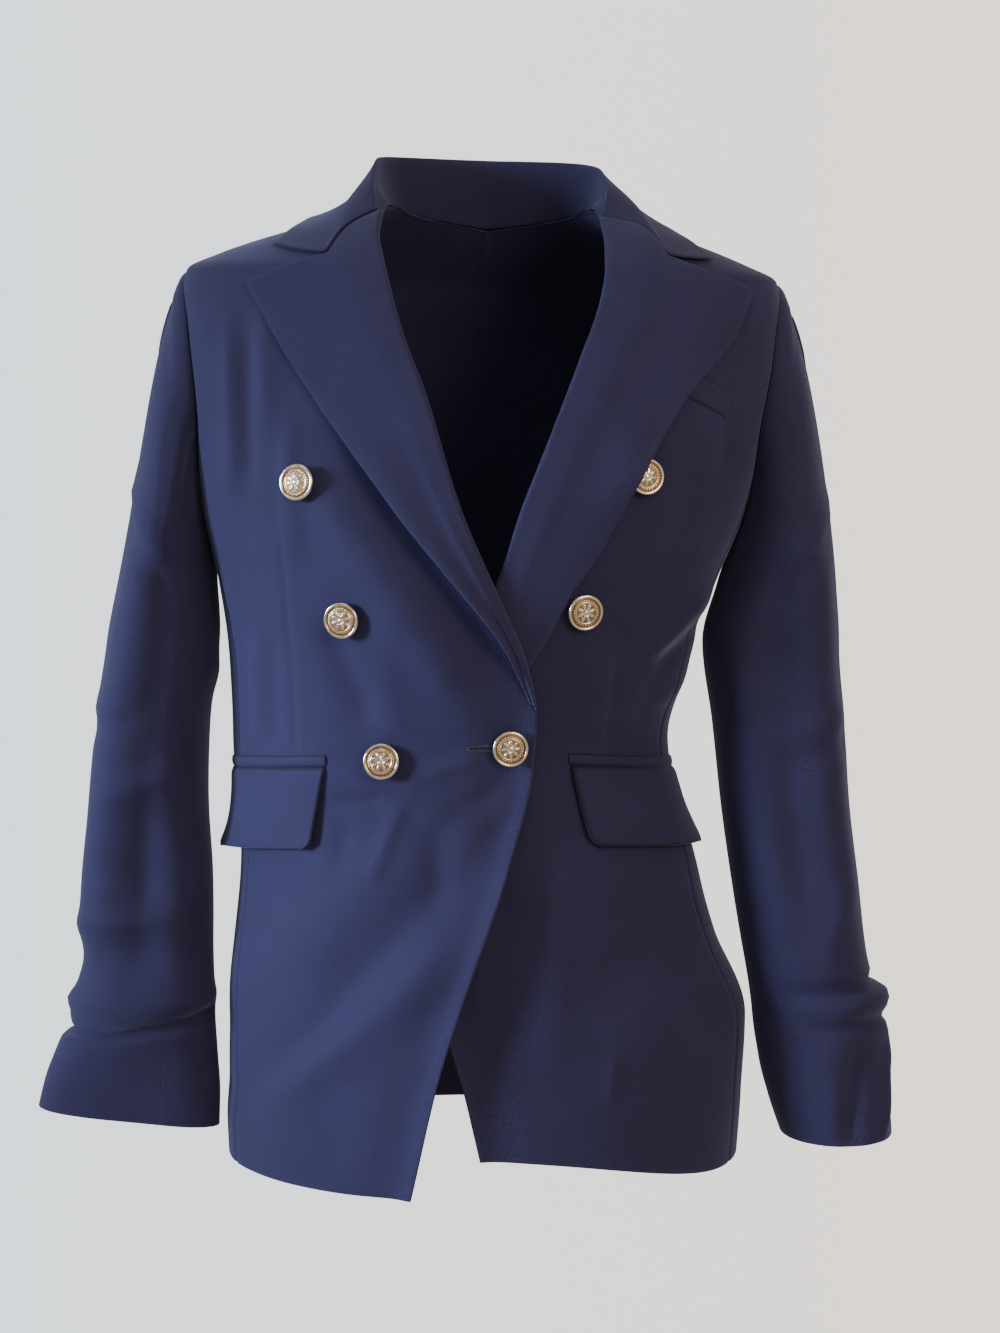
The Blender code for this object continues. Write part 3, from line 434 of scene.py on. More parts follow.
# %% Gilt and thread
def gilt_metal():
    """Gold that darkens and dulls with the stored depth of the relief."""
    finish = Finish("pale_gilt", Metallic=1.0)
    place = finish.node("ShaderNodeTexCoord", output=3)
    depth = finish.node("ShaderNodeAttribute", {"attribute_name": "hollow"}, output=2)
    cloud = finish.noise(place, 260.0, 3.0)
    dull = (depth * 0.8 + cloud * 0.35 - 0.1).between(0.1, 0.95)
    finish.feed("Base Color", finish.mix(dull, (0.98, 0.86, 0.62, 1), (0.34, 0.19, 0.07, 1)))
    finish.feed("Roughness", dull * 0.30 + cloud * 0.10 + 0.13)
    finish.bump(cloud, 0.00004, 0.4)
    return finish.material


def thread_finish():
    """Navy silk thread with a fine twist."""
    finish = Finish("buttonhole_thread", Sheen_Weight=0.3)
    place = finish.node("ShaderNodeTexCoord", output=3)
    twist = finish.noise(place, 1500.0, 2.0)
    finish.feed("Base Color", finish.mix(twist, (0.006, 0.007, 0.018, 1), (0.020, 0.022, 0.050, 1)))
    finish.feed("Roughness", twist * 0.2 + 0.5)
    finish.bump(twist, 0.0001, 0.6)
    return finish.material


gilt = gilt_metal()
thread = thread_finish()
print("finishes", gilt.name, thread.name)

# %% [markdown]
# ## One way to make every cut piece
# Each piece is worked out as a grid of points on its outer face. The shell maker walks back
# along the normals for the inner face, closes the rim with a small half round, so that cut
# edges look turned in rather than sawn off, and stores three things for the finish: metres
# along the cloth, how near a point is to a folded edge, and how far a painted shade darkens
# it in a gap.

# %% The shell maker
CLOTH, FOLDED_CLOTH, BAND_CLOTH = 1.5 * MM, 1.35 * MM, 0.9 * MM
RIM_ANGLES = (45, 90, 135)
DIP_DEPTH, DIP_REACH = 0.9 * MM, 1.7 * MM
WEAR_REACH = 2.2 * MM
SEAM_CROWD = 0.55             # share of the columns that crowd towards the two side edges


def crowded(count):
    """0 to 1 in count steps, a mix of even steps and half a cosine, which crowds both ends."""
    even = np.linspace(0, 1, count)
    return (1 - SEAM_CROWD) * even + SEAM_CROWD * (1 - np.cos(math.pi * even)) / 2


def grid_normal(grid):
    """The cross product of the two slopes of a grid: across, then up."""
    return unit(np.cross(np.gradient(grid, axis=1), np.gradient(grid, axis=0)))


def metres_along(grid, axis):
    """Running length along one axis of a grid, from 0."""
    steps = np.linalg.norm(np.diff(grid, axis=axis), axis=-1)
    start = np.zeros_like(np.take(steps, [0], axis))
    return np.concatenate([start, np.cumsum(steps, axis)], axis)


def edge_distances(grid):
    """Metres to the first column, the last column, the first row and the last row."""
    across, up = metres_along(grid, 1), metres_along(grid, 0)
    return across, across[:, -1:] - across, up, up[-1:] - up


def pressed_seams(grid, seams):
    """The grid pressed in along the edges that seams names (l, r, b, t), as exp(-(d / reach)^2)."""
    drop = sum(np.exp(-(d / DIP_REACH) ** 2) for letter, d in zip("lrbt", edge_distances(grid))
               if letter in seams)
    return grid - grid_normal(grid) * np.asarray(DIP_DEPTH * drop)[..., None]


def rim_order(rows, columns):
    """Grid indices round the rim, counter-clockwise from the first corner."""
    index = np.arange(rows * columns).reshape(rows, columns)
    return np.concatenate([index[0], index[1:, -1], index[-1, -2::-1], index[-2:0:-1, 0]])


def rim_outward(grid):
    """The way out of the grid at each of its points, from the slopes at the four edges."""
    out = np.zeros_like(grid)
    out[:, 0] += unit(grid[:, 0] - grid[:, 1])
    out[:, -1] += unit(grid[:, -1] - grid[:, -2])
    out[0] += unit(grid[0] - grid[1])
    out[-1] += unit(grid[-1] - grid[-2])
    return unit(out)


def write_mesh(name, points, faces, material):
    """A mesh object from an array of points and an array of four-cornered faces."""
    mesh = bpy.data.meshes.new(name)
    mesh.vertices.add(len(points))
    mesh.vertices.foreach_set("co", np.ascontiguousarray(points, np.float32).ravel())
    mesh.loops.add(faces.size)
    mesh.loops.foreach_set("vertex_index", np.ascontiguousarray(faces, np.int32).ravel())
    mesh.polygons.add(len(faces))
    mesh.polygons.foreach_set("loop_start", np.arange(0, faces.size, 4, dtype=np.int32))
    mesh.materials.append(material)
    mesh.update(calc_edges=True)
    mesh.validate()
    mesh.shade_smooth()
    piece = bpy.data.objects.new(name, mesh)
    bpy.context.scene.collection.objects.link(piece)
    return piece


def store(piece, label, values):
    """One number for each point of a piece, for its finish to read."""
    layer = piece.data.attributes.new(label, "FLOAT", "POINT")
    layer.data.foreach_set("value", np.ascontiguousarray(values, np.float32))


def faces_between(loops):
    """Four-cornered faces between neighbouring loops of indices, each loop closed."""
    after = np.roll(loops, -1, axis=1)
    return np.stack([loops[:-1], loops[1:], after[1:], after[:-1]], -1).reshape(-1, 4)


def cloth_shell(name, outer, worn="", thickness=CLOTH, crevice=None):
    """A closed shell below a grid of outer points; worn names the edges that are rubbed, and
    the last argument, 0 to 1 for each point, is how far a painted shade darkens the cloth there,
    for the shadow in a gap between two thicknesses of cloth."""
    rows, columns = outer.shape[:2]
    normal = grid_normal(outer)
    inner = outer - normal * thickness
    index = np.arange(rows * columns).reshape(rows, columns)
    face = np.stack([index[:-1, :-1], index[:-1, 1:], index[1:, 1:], index[1:, :-1]], -1)
    face = face.reshape(-1, 4)
    rim = rim_order(rows, columns)
    flat_outer, flat_normal = outer.reshape(-1, 3), normal.reshape(-1, 3)
    middle = flat_outer[rim] - flat_normal[rim] * thickness / 2
    outward = rim_outward(outer).reshape(-1, 3)[rim]
    turns = np.radians(RIM_ANGLES)[:, None, None]
    rounds = middle + (flat_normal[rim] * np.cos(turns) + outward * np.sin(turns)) * thickness / 2
    count = rows * columns
    loops = [rim] + [2 * count + k * len(rim) + np.arange(len(rim)) for k in range(len(turns))]
    loops = np.array(loops + [rim + count])
    points = np.concatenate([flat_outer, inner.reshape(-1, 3), rounds.reshape(-1, 3)])
    rim_faces = np.roll(faces_between(loops), 1, axis=1)
    faces = np.concatenate([face, count + face[:, ::-1], rim_faces])
    piece = write_mesh(name, lean(points), faces, wool)
    distances = edge_distances(outer)
    metres = np.stack([distances[0], distances[2]], -1).reshape(-1, 2)
    metres = np.concatenate([metres, metres, np.tile(metres[rim], (len(turns), 1))])
    layer = piece.data.uv_layers.new(name=CLOTH_MAP)
    layer.data.foreach_set("uv", metres[faces.ravel()].astype(np.float32).ravel())
    wear = np.zeros((rows, columns))
    for letter, distance in zip("lrbt", distances):
        if letter in worn:
            wear = np.maximum(wear, np.exp(-(distance / WEAR_REACH) ** 2))
    wear = wear.ravel()
    store(piece, "edge_wear", np.concatenate([wear, wear, np.tile(wear[rim], len(turns))]))
    # Painted shade: 0 to 1 for each point, how far the finish darkens the cloth for the shadow in a gap.
    painted_shade = np.broadcast_to(0.0 if crevice is None else crevice, (rows, columns)).ravel()
    store(piece, "crevice", np.concatenate([painted_shade, painted_shade, np.tile(painted_shade[rim], len(turns))]))
    return piece


def flat_measure(outer):
    """The cut's width and length, as the mean of its rows and columns, and its area."""
    across, up = np.diff(outer, axis=1)[:-1], np.diff(outer, axis=0)[:, :-1]
    area = np.linalg.norm(np.cross(across, up), axis=-1).sum()
    width, length = metres_along(outer, 1)[:, -1].max(), metres_along(outer, 0)[-1].max()
    return max(width, 0.012), max(length, 0.012), float(area)


def sew(name, outer, held, rests_on=(), nodes=(), **shell):
    piece = cloth_shell(name, outer, **shell)
    width, length, area = flat_measure(outer)
    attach(piece, "root")
    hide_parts(*(nodes or [name]))
    round(min(max(area, 0.31 * width * length), width * length), 5)
    triangles = 2 * len(piece.data.polygons)
    print(f"{piece.name}: {width:.3f} x {length:.3f} m, {area:.4f} m2, {triangles} triangles")


# %% [markdown]
# ## Fronts, side panels and backs
# A front runs from its edge to the seam behind the pocket, where the side panel takes over
# under the arm, and a seam down the middle parts the two halves of the back. The armhole is
# an oval round the end of the shoulder. The seams are pressed, so each piece sinks a little
# where it meets its neighbour.

# %% Front edges, seams and the armhole
UNDERARM_Z, SHOULDER_Z = -0.205, -0.048               # the armhole's foot and top
ARM_MID, ARM_HALF = 0.5 * (SHOULDER_Z + UNDERARM_Z), 0.5 * (SHOULDER_Z - UNDERARM_Z)
ARMHOLE_FRONT, ARMHOLE_BACK, ARMHOLE_OVAL = 0.050, 0.056, 1.25    # reach, reach, power of the sine
SIDE_FRONT_TOP, SIDE_BACK_TOP = -0.178, -0.165        # where the side seams meet the armhole
SIDE_FRONT_Q, SIDE_BACK_Q = 0.80, 1.24                # their quarter turns from the waist down
WAIST_Z, HEM_Z = -0.34, -0.640

Edge = namedtuple("Edge", "z x")
RIGHT_EDGE = table(Edge, [
    (0, -62), (-22, -68), (-55, -61.5), (-95, -50),
    (-125, -38), (-195, -16), (-254, 8.5), (-300, 27),
    (-330, 33), (-370, 30), (-430, 15), (-500, -7.5),
    (-565, -26.8), (-640, -43.5),
])
LEFT_EDGE = table(Edge, [
    (0, 74), (-22, 81.5), (-40, 82), (-65, 78.5),
    (-95, 68), (-165, 41), (-200, 27), (-240, 14),
    (-265, 2), (-305, -33), (-345, -67), (-385, -69),
    (-450, -48), (-546, -20.5), (-577, -14), (-640, -0.5),
])


def edge_x(side, z):
    """Sideways place of a front's edge, or of its roll line above the break, at height z."""
    return read_column(RIGHT_EDGE if side < 0 else LEFT_EDGE, "x", z)


def armhole(angle, side):
    """The oval (q, z): z by the cosine of the angle from the top, reach by its sine."""
    z = ARM_MID + ARM_HALF * np.cos(angle)
    ahead = np.sin(angle)
    reach = np.where(ahead > 0, ARMHOLE_FRONT, ARMHOLE_BACK) * np.abs(ahead) ** ARMHOLE_OVAL
    front, back, fullness = form(z, "front back fullness")
    cosine = (reach / np.where(ahead > 0, front, back)) ** (1 / fullness)
    return side * (1 - np.sign(ahead) * np.arcsin(np.clip(cosine, 0, 1)) * 2 / math.pi), z


def armhole_angle(z):
    """The size of the armhole's angle at height z."""
    return np.arccos(np.clip((z - ARM_MID) / ARM_HALF, -1, 1))


def side_seam(z, front_one):
    """Quarter turn of the side panel's front or back seam, easing from the armhole to the waist."""
    if front_one:
        (top_q, top_z), low_q = armhole(armhole_angle(SIDE_FRONT_TOP), 1), SIDE_FRONT_Q
    else:
        (top_q, top_z), low_q = armhole(-armhole_angle(SIDE_BACK_TOP), 1), SIDE_BACK_Q
    return top_q + (low_q - top_q) * ramp(z, top_z, WAIST_Z)


# %% How far a front stands off the form
OVER_LIFT = 6.6 * MM          # the over front stands out over the under front and its lapel
EDGE_SWING = 11.0 * MM        # its lower edge swings out, below the button
UNDER_SINK = 4.5 * MM         # the under front sinks in where the over one presses on it
CURL_HEIGHT, CURL_REACH = 2.2 * MM, 6.0 * MM
CURL_HOLLOW, HOLLOW_REACH = 2.2 * MM, 15.0 * MM
BREAK_Z = {-1: -0.322, 1: -0.341}     # where each roll line ends


def front_lift(side, q, z, folded=1.0):
    """The folds, times folded ahead of the side seam; the over front's step out and swing, or
    how far the under front sinks; and the free edge's curl, up by exp(-(d / reach)^2) at the
    edge with a shallow hollow behind it."""
    x = torso_bare(q, z)[..., 0]
    own = fold_height(RIGHT_FOLDS if side < 0 else LEFT_FOLDS, x, z)
    lift = relief(q, z) * (1 - front_share(q)) + own * front_share(q) * folded
    if side < 0:
        lift = lift + OVER_LIFT * ramp(-np.abs(q), -0.72, -0.34) * ramp(-z, 0.14, 0.25)
        lift = lift + EDGE_SWING * ramp(x, -0.120, -0.010) * ramp(-z, 0.39, 0.48)
    else:
        behind = ramp(edge_x(-1, z) - x, 0.002, 0.014)
        lift = lift - UNDER_SINK * behind * ramp(-z, 0.22, 0.25) * ramp(z, -0.40, -0.35)
    inside = (x - edge_x(side, z)) * side
    curl = CURL_HEIGHT * np.exp(-(inside / CURL_REACH) ** 2) - CURL_HOLLOW * np.exp(
        -((inside - HOLLOW_REACH) / HOLLOW_REACH) ** 2)
    return lift + curl * ramp(-z, -BREAK_Z[side] - 0.02, -BREAK_Z[side] + 0.03)


def front_face(side, q, z, off=0.0, folded=1.0):
    """A point that lies off the outer face of a front."""
    return torso(q, z, front_lift(side, q, z, folded) + off)


LOW_ROWS, ARM_ROWS, SHOULDER_ROWS, NECK_SEAM_Z = 150, 34, 20, -0.0015


def body_rows(top_z):
    """Heights from hem to neck: even up to the armhole, by its angle past it, then to the neck."""
    arm = ARM_MID + ARM_HALF * np.cos(np.linspace(armhole_angle(top_z), 0, ARM_ROWS))
    low = np.linspace(HEM_Z, top_z, LOW_ROWS)[:-1]
    return np.concatenate([low, arm, np.linspace(SHOULDER_Z, NECK_SEAM_Z, SHOULDER_ROWS)[1:]])


def facing(side, *grids):
    """Grids with their columns turned round on the wearer's right, so that both sides face out."""
    return [grid[:, ::-1] if side < 0 else grid for grid in grids]


# %% The two fronts
SIDES = ((-1, "right"), (1, "left"))
FRONT_COLUMNS = 120
UNDER_HEM_RISE = 0.022        # the under front's hem goes up towards its edge


def front_piece(side, word):
    """From the edge (s = 0) to the side seam, armhole and shoulder (s = 1), row by row."""
    z = body_rows(SIDE_FRONT_TOP)
    inner_q = side * quarter_at_x(edge_x(side, z), z)
    arm_q, _ = armhole(armhole_angle(z), 1)
    outer_q = np.where(z < SIDE_FRONT_TOP, side_seam(z, True), arm_q)
    outer_q = np.where(z > SHOULDER_Z, 1.0, outer_q)
    q = inner_q[:, None] + (outer_q - inner_q)[:, None] * crowded(FRONT_COLUMNS)
    rows = np.repeat(z[:, None], FRONT_COLUMNS, 1)
    if side > 0:
        rows = rows + UNDER_HEM_RISE * ramp(-q, -0.75, 0.0) * ramp(-rows, 0.50, 0.64)
    q, rows = facing(side, q * side, rows)
    seam_side, free_side = ("l", "r") if side < 0 else ("r", "l")
    outer = pressed_seams(front_face(side, q, rows), seam_side + "t")
    sew(f"front_{word}", outer, "hung", worn=free_side + "b")


for side, word in SIDES:
    front_piece(side, word)

# %% The side panels
SIDE_COLUMNS = 34


def side_piece(side, word):
    """From the front seam to the back seam, with a top row that follows the armhole's foot."""
    start = armhole_angle(SIDE_FRONT_TOP)
    angle = start + (2 * math.pi - armhole_angle(SIDE_BACK_TOP) - start) * crowded(SIDE_COLUMNS)
    top_q, top_z = armhole(angle, 1)
    share = (top_q - top_q[0]) / (top_q[-1] - top_q[0])
    up = np.linspace(0, 1, LOW_ROWS)[:, None]
    z = HEM_Z + (top_z - HEM_Z) * up
    first, last = side_seam(z, True), side_seam(z, False)
    q, z = facing(side, side * (first + (last - first) * share), z)
    sew(f"side_panel_{word}", pressed_seams(torso(q, z, relief(q, z)), "lrt"), "hung", worn="b")


for side, word in SIDES:
    side_piece(side, word)

# %% The two halves of the back
BACK_COLUMNS = 56
Neck = namedtuple("Neck", "q z")
BACK_NECK = [Neck(1.00, 0.0000), Neck(1.30, -0.0015), Neck(1.66, -0.0070), Neck(2.00, -0.0130)]


def back_piece(side, word):
    """From the side panel, armhole and shoulder to the middle seam, up to the neck's curve."""
    z = body_rows(SIDE_BACK_TOP)
    arm_q, _ = armhole(-armhole_angle(z), 1)
    side_q = np.where(z < SIDE_BACK_TOP, side_seam(z, False), arm_q)
    side_q = np.where(z > SHOULDER_Z, 1.0, side_q)
    neck_q = smooth_read(z, [row.z for row in BACK_NECK], [row.q for row in BACK_NECK])
    middle_q = np.where(z >= BACK_NECK[-1].z, neck_q, 2.0)
    q = side * (side_q[:, None] + (middle_q - side_q)[:, None] * crowded(BACK_COLUMNS))
    q, rows = facing(side, q, np.repeat(z[:, None], BACK_COLUMNS, 1))
    sew(f"back_{word}", pressed_seams(torso(q, rows, relief(q, rows)), "lrt"), "hung", worn="b")


for side, word in SIDES:
    back_piece(side, word)

# %% [markdown]
# ## Sleeves
# A tailored sleeve is two pieces, a top and an under one, pitched a little forward. The head
# is set into the armhole with some ease, so it rolls over the seam before it falls. Below
# that a table of rings carries it down to the cuff, and a table of creases bends it, in
# degrees round the arm and metres down it.

# %% Rings and creases
Ring = namedtuple("Ring", "z out forward half_width half_depth rise")
RIGHT_RINGS = table(Ring, [
    (-250, 212, 0, 32.5, 60, 0),
    (-292, 215.5, 2, 37.5, 59, 0),
    (-347, 223, 5, 38.4, 55, 0),
    (-400, 226, 9, 40.2, 50, 0),
    (-450, 227, 13, 44, 45, 0),
    (-500, 228.5, 17, 46, 40, 0),
    (-538, 230, 20, 48, 36, 0),
    (-570, 234.5, 22, 54.5, 29, 3),
    (-592, 237.5, 24, 59, 26, 5),
    (-613, 240, 26, 61, 24, 7),
])
LEFT_RINGS = table(Ring, [
    (-250, 199, 0, 39.5, 59, 0),
    (-292, 195, 2, 46, 56, 0),
    (-347, 200.5, 5, 44.7, 53, 0),
    (-400, 205, 9, 43.5, 50, 0),
    (-450, 211.5, 13, 43, 47, 0),
    (-505, 219.5, 17, 41.8, 44, 0),
    (-545, 229.5, 20, 46, 40, 0),
    (-575, 231, 22, 43, 40, 0),
    (-602, 236, 24, 41, 41, 0),
    (-624, 240.5, 26, 38, 41, 0),
])

Crease = namedtuple("Crease", "turn0 z0 turn1 z1 width height")
RIGHT_CREASES = table(Crease, [
    (64, -200, 36, -510, 18, 3.6),
    (106, -215, 92, -520, 24, -4.6),
    (98, -390, 88, -540, 26, -3),
    (40, -545, 28, -640, 20, 2.4),
    (104, -550, 96, -640, 26, -3),
    (-90, -508, 170, -500, 16, -3.2),
    (-150, -536, 190, -531, 7, 3.4),
    (-90, -548, 75, -555, 3.5, -5),
    (60, -556, 175, -539, 3.5, -4.6),
    (-20, -484, 130, -472, 8, 1.6),
    (30, -440, 120, -455, 8, -1.6),
    (20, -185, 100, -232, 8, 2),
    (30, -205, 110, -262, 10, -2.2),
    (10, -330, 120, -352, 7, 1.3),
    (0, -352, 90, -338, 8, -1.5),
    (40, -395, 130, -375, 9, 1.4),
    (-80, -340, -10, -372, 9, -1.6),
    (-90, -362, -20, -398, 9, 1.5),
    (60, -500, 150, -512, 8, 1.6),
    (150, -300, 230, -330, 10, 1.5),
], "turn0 turn1")
LEFT_CREASES = table(Crease, [
    (52, -215, 44, -500, 16, 3.4),
    (94, -225, 86, -500, 18, -4.2),
    (128, -260, 118, -480, 14, 2),
    (-60, -519, 120, -523, 4.5, -4.2),
    (-70, -529, 100, -533, 7, 3.6),
    (-60, -543, 110, -546, 5, -3.4),
    (10, -558, 44, -622, 9, 3.6),
    (56, -560, 84, -628, 10, -3.8),
    (20, -190, 95, -236, 9, 1.8),
    (30, -212, 105, -262, 9, -1.8),
    (20, -335, 120, -355, 8, 1.4),
    (10, -352, 100, -372, 8, -1.4),
    (-90, -345, -20, -375, 9, 1.5),
    (40, -450, 80, -500, 10, 1.2),
], "turn0 turn1")
ARM_GIRTH = 0.050             # metres of sleeve for one radian of turn


def crease_height(creases, angle, z):
    """Folds on the sleeve's own map, which is turn * girth across and z up, taken round the
    arm as the nearest of three copies."""
    total = np.zeros(np.broadcast(angle, z).shape)
    for crease in creases:
        x0, x1 = math.radians(crease.turn0) * ARM_GIRTH, math.radians(crease.turn1) * ARM_GIRTH
        fold = Fold(x0, crease.z0, x1, *crease[3:])
        for lap in (-1, 0, 1):
            total = total + fold_height([fold], (angle + lap * 2 * math.pi) * ARM_GIRTH, z)
    return total


# %% The sleeve's shape
SLEEVE_PITCH = 0.045          # how far the head runs on along the shoulder, at the top
HEAD_STEPS, ARM_STEPS = 30, 92
TOP_COLUMNS, UNDER_COLUMNS = 84, 50
FRONT_SEAM, BACK_SEAM = math.radians(112), math.radians(250)
ROPE_HEIGHT, ROPE_REACH = 1.8 * MM, 9.0 * MM


def ring_points(rings, side, angle, z):
    """A level ellipse for each height: centre (out, -forward), half width and half depth, its
    outer side raised by rise * cos(angle)."""
    cosine, sine = np.cos(angle), np.sin(angle)
    out, forward, half_width, half_depth, rise = [read_column(rings, column, z)
                                                  for column in Ring._fields[1:]]
    return np.stack([side * (out + half_width * cosine), -forward - half_depth * sine,
                     z + rise * cosine], -1)


def sleeve_start(side, angle):
    """The armhole's points and the way that the sleeve leaves each: on along the shoulder at
    the top, turned out of the body by up to 56 degrees more at the underarm."""
    q, z = armhole(angle, side)
    ahead_q, ahead_z = armhole(angle + 0.02, side)
    edge = torso(q, z)
    normal = torso_normal(q, z)
    onward = unit(np.cross(normal, torso(ahead_q, ahead_z) - edge)) * side
    turn = (0.62 * math.pi / 2) * (1 - np.cos(angle)) + 0.25
    direction = onward * np.cos(turn)[..., None] + normal * np.sin(turn)[..., None]
    return edge, direction


def sleeve_piece(side, word, part, first, last, columns):
    """Hermite curves from the armhole to the first ring, then the rings; creases and the
    roping over the seam push it along its normals."""
    rings, creases = (RIGHT_RINGS, RIGHT_CREASES) if side < 0 else (LEFT_RINGS, LEFT_CREASES)
    angle = first + (last - first) * crowded(columns)
    edge, direction = sleeve_start(side, angle)
    top_z = rings[0].z
    ring = ring_points(rings, side, angle, np.full(columns, top_z))
    below = ring_points(rings, side, angle, np.full(columns, top_z - 0.01))
    down = unit(below - ring)
    span = np.linalg.norm(ring - edge, axis=-1)[:, None]
    leave = np.where(np.cos(angle)[:, None] > 0, SLEEVE_PITCH + 0.3 * span, 0.25 * span)
    t = (np.linspace(0, 1, HEAD_STEPS) ** 1.3)[:-1, None, None]
    head = (edge * (1 + 2 * t) * (1 - t) ** 2 + direction * leave * t * (1 - t) ** 2
            + ring * t * t * (3 - 2 * t) + down * span * t * t * (t - 1))
    z = np.linspace(top_z, rings[-1].z, ARM_STEPS)[:, None]
    arm = ring_points(rings, side, angle[None], np.repeat(z, columns, 1))
    outer = np.concatenate([head, arm])[::-1]
    outer, turns = facing(-side, outer, np.broadcast_to(angle, outer.shape[:2]))
    from_seam = edge_distances(outer)[3]
    swell = np.sin(math.pi * np.clip(from_seam / (2 * ROPE_REACH), 0, 1))
    rope = ROPE_HEIGHT * swell * ramp(np.cos(turns), -0.2, 0.7)
    push = crease_height(creases, turns, outer[..., 2]) + rope
    outer = outer + grid_normal(outer) * push[..., None]
    sew(f"{part}_sleeve_{word}", pressed_seams(outer, "t"), "hung", [f"front_{word}", f"back_{word}"],
        worn="b")


for side, word in SIDES:
    sleeve_piece(side, word, "top", BACK_SEAM - 2 * math.pi, FRONT_SEAM, TOP_COLUMNS)
    sleeve_piece(side, word, "under", FRONT_SEAM, BACK_SEAM, UNDER_COLUMNS)

# %% [markdown]
# ## Lapels
# A lapel isn't laid on the front, it is the front turned back on itself along the roll line.
# So its grid starts behind the roll, comes round it in a soft half circle, and only then runs
# out over the chest to its edge. The roll is full at the top and flattens to the break, where
# the lapel ends at the buttoned edge, and the free edge springs up a little off the chest.

# %% Curves through a few points
def smooth_curve(points, count, spread=1.0):
    """Each coordinate read along the chord length, then shared out by the curve's own length,
    with shares t ** spread."""
    points = np.asarray(points, float)
    chord = np.append(0, np.cumsum(np.linalg.norm(np.diff(points, axis=0), axis=1)))
    dense_at = np.linspace(0, chord[-1], 40 * len(points))
    dense = np.stack([smooth_read(dense_at, chord, column) for column in points.T], -1)
    length = np.append(0, np.cumsum(np.linalg.norm(np.diff(dense, axis=0), axis=1)))
    at = length[-1] * np.linspace(0, 1, count) ** spread
    return np.stack([np.interp(at, length, column) for column in dense.T], -1)


def bent_curve(first, second, count, corner):
    """Two smooth curves that meet at a corner, which is point number corner."""
    return np.concatenate([smooth_curve(first, corner + 1), smooth_curve(second, count - corner)[1:]])


def stretch_between(top, bottom, inner, outer):
    """Fills four edge curves: both blends of opposite edges, less the blend of the corners."""
    u = np.linspace(0, 1, len(top))[None, :, None]
    v = np.linspace(0, 1, len(inner))[:, None, None]
    corners = ((1 - u) * (1 - v) * top[0] + u * (1 - v) * top[-1]
               + (1 - u) * v * bottom[0] + u * v * bottom[-1])
    return (1 - u) * inner[:, None] + u * outer[:, None] + (1 - v) * top + v * bottom - corners


# %% Lapel outlines, seen from the front as (x, z)
def spots(*rows):
    """Points from numbers in millimetres."""
    return np.array(rows) / 1000


RIGHT_GORGE = spots((-69.5, -12), (-83.5, -20.5), (-93.5, -31), (-100, -41.5))
RIGHT_PEAK = spots((-100, -41.5), (-113, -45), (-132, -51), (-149, -59.5))
RIGHT_LAPEL = spots((-149, -59.5), (-138, -79), (-114.5, -116.5), (-82.5, -160.5),
                    (-50.5, -202), (-19.5, -240), (12, -280), (30, -319))
RIGHT_COLLAR_END = spots((-100, -41), (-116.5, -38.5), (-133.5, -35))
LEFT_GORGE = spots((80, -13), (99, -17), (112, -25.5), (120, -38))
LEFT_PEAK = spots((120, -38), (140, -45), (162, -51.5), (173.5, -57))
LEFT_LAPEL = spots((173.5, -57), (162.5, -85), (132.5, -121), (106.5, -162.5), (74, -224),
                   (56, -250), (40, -280), (20, -308), (-30, -334), (-64, -344))
LEFT_COLLAR_END = spots((120, -37.2), (134.5, -38.5), (149, -38.5))
LEFT_TOP_BUTTON = (0.1035, -0.1760)

LapelShape = namedtuple("LapelShape", "side word gorge peak outline roll_top roll_end spring bulge")
LAPELS = [
    LapelShape(-1, "right", RIGHT_GORGE, RIGHT_PEAK, RIGHT_LAPEL, 3.0 * MM, 1.2 * MM, 5.0 * MM, 0.0),
    LapelShape(1, "left", LEFT_GORGE, LEFT_PEAK, LEFT_LAPEL, 2.6 * MM, 0.9 * MM, 0.8 * MM, 8.0 * MM),
]
LAPEL_ROWS, LAPEL_COLUMNS, GORGE_STEP = 120, 52, 22
LAPEL_SPREAD = 1.25           # above 1, rows crowd towards the top
ROLL_STEPS = 9                # points round the roll, before the face
REST_GAP = 2.3 * MM           # a lapel's inner face above the chest
PRESSED_GAP = 0.2 * MM        # and where the over front presses on it
ROLL_REACH = 0.34             # share of a lapel's width over which its roll falls to the chest
LAPEL_WAVE = 0.5 * MM
BULGE_REACH = 0.024           # metres of lapel that a button under it lifts
CALM = {-1: 0.0, 1: 1.0}      # share of the front's folds that a lapel follows


def lapel_rise(shape, x, z, across, down):
    """The lapel's inner face over the chest: its roll height falling away across it, the free
    edge springing up low down, and the left one lifted by exp(-(d / reach)^2) over a button
    and pressed flat behind the over front's edge."""
    roll = shape.roll_top + (shape.roll_end - shape.roll_top) * ramp(down, 0.45, 1.0)
    rest = REST_GAP * ramp(across, 0.0, 0.3) * ramp(-down, -1.0, -0.85)
    low = ramp(down, 0.30, 0.62) * ramp(-down, -0.99, -0.86)
    rise = rest + roll * np.exp(-(across / ROLL_REACH) ** 2)
    rise = rise + shape.spring * ramp(across, 0.35, 1.0) * low
    near = ((x - LEFT_TOP_BUTTON[0]) ** 2 + (z - LEFT_TOP_BUTTON[1]) ** 2) / BULGE_REACH ** 2
    wave = LAPEL_WAVE * np.sin(9 * down + 3 * across) * np.sin(math.pi * across)
    rise = rise + shape.bulge * np.exp(-near) + wave
    behind = ramp(edge_x(-1, z) - x, 0.000, 0.008) * ramp(-z, 0.20, 0.23)
    pressed = behind if shape.side > 0 else 0.0
    return rise * (1 - pressed) + PRESSED_GAP * pressed


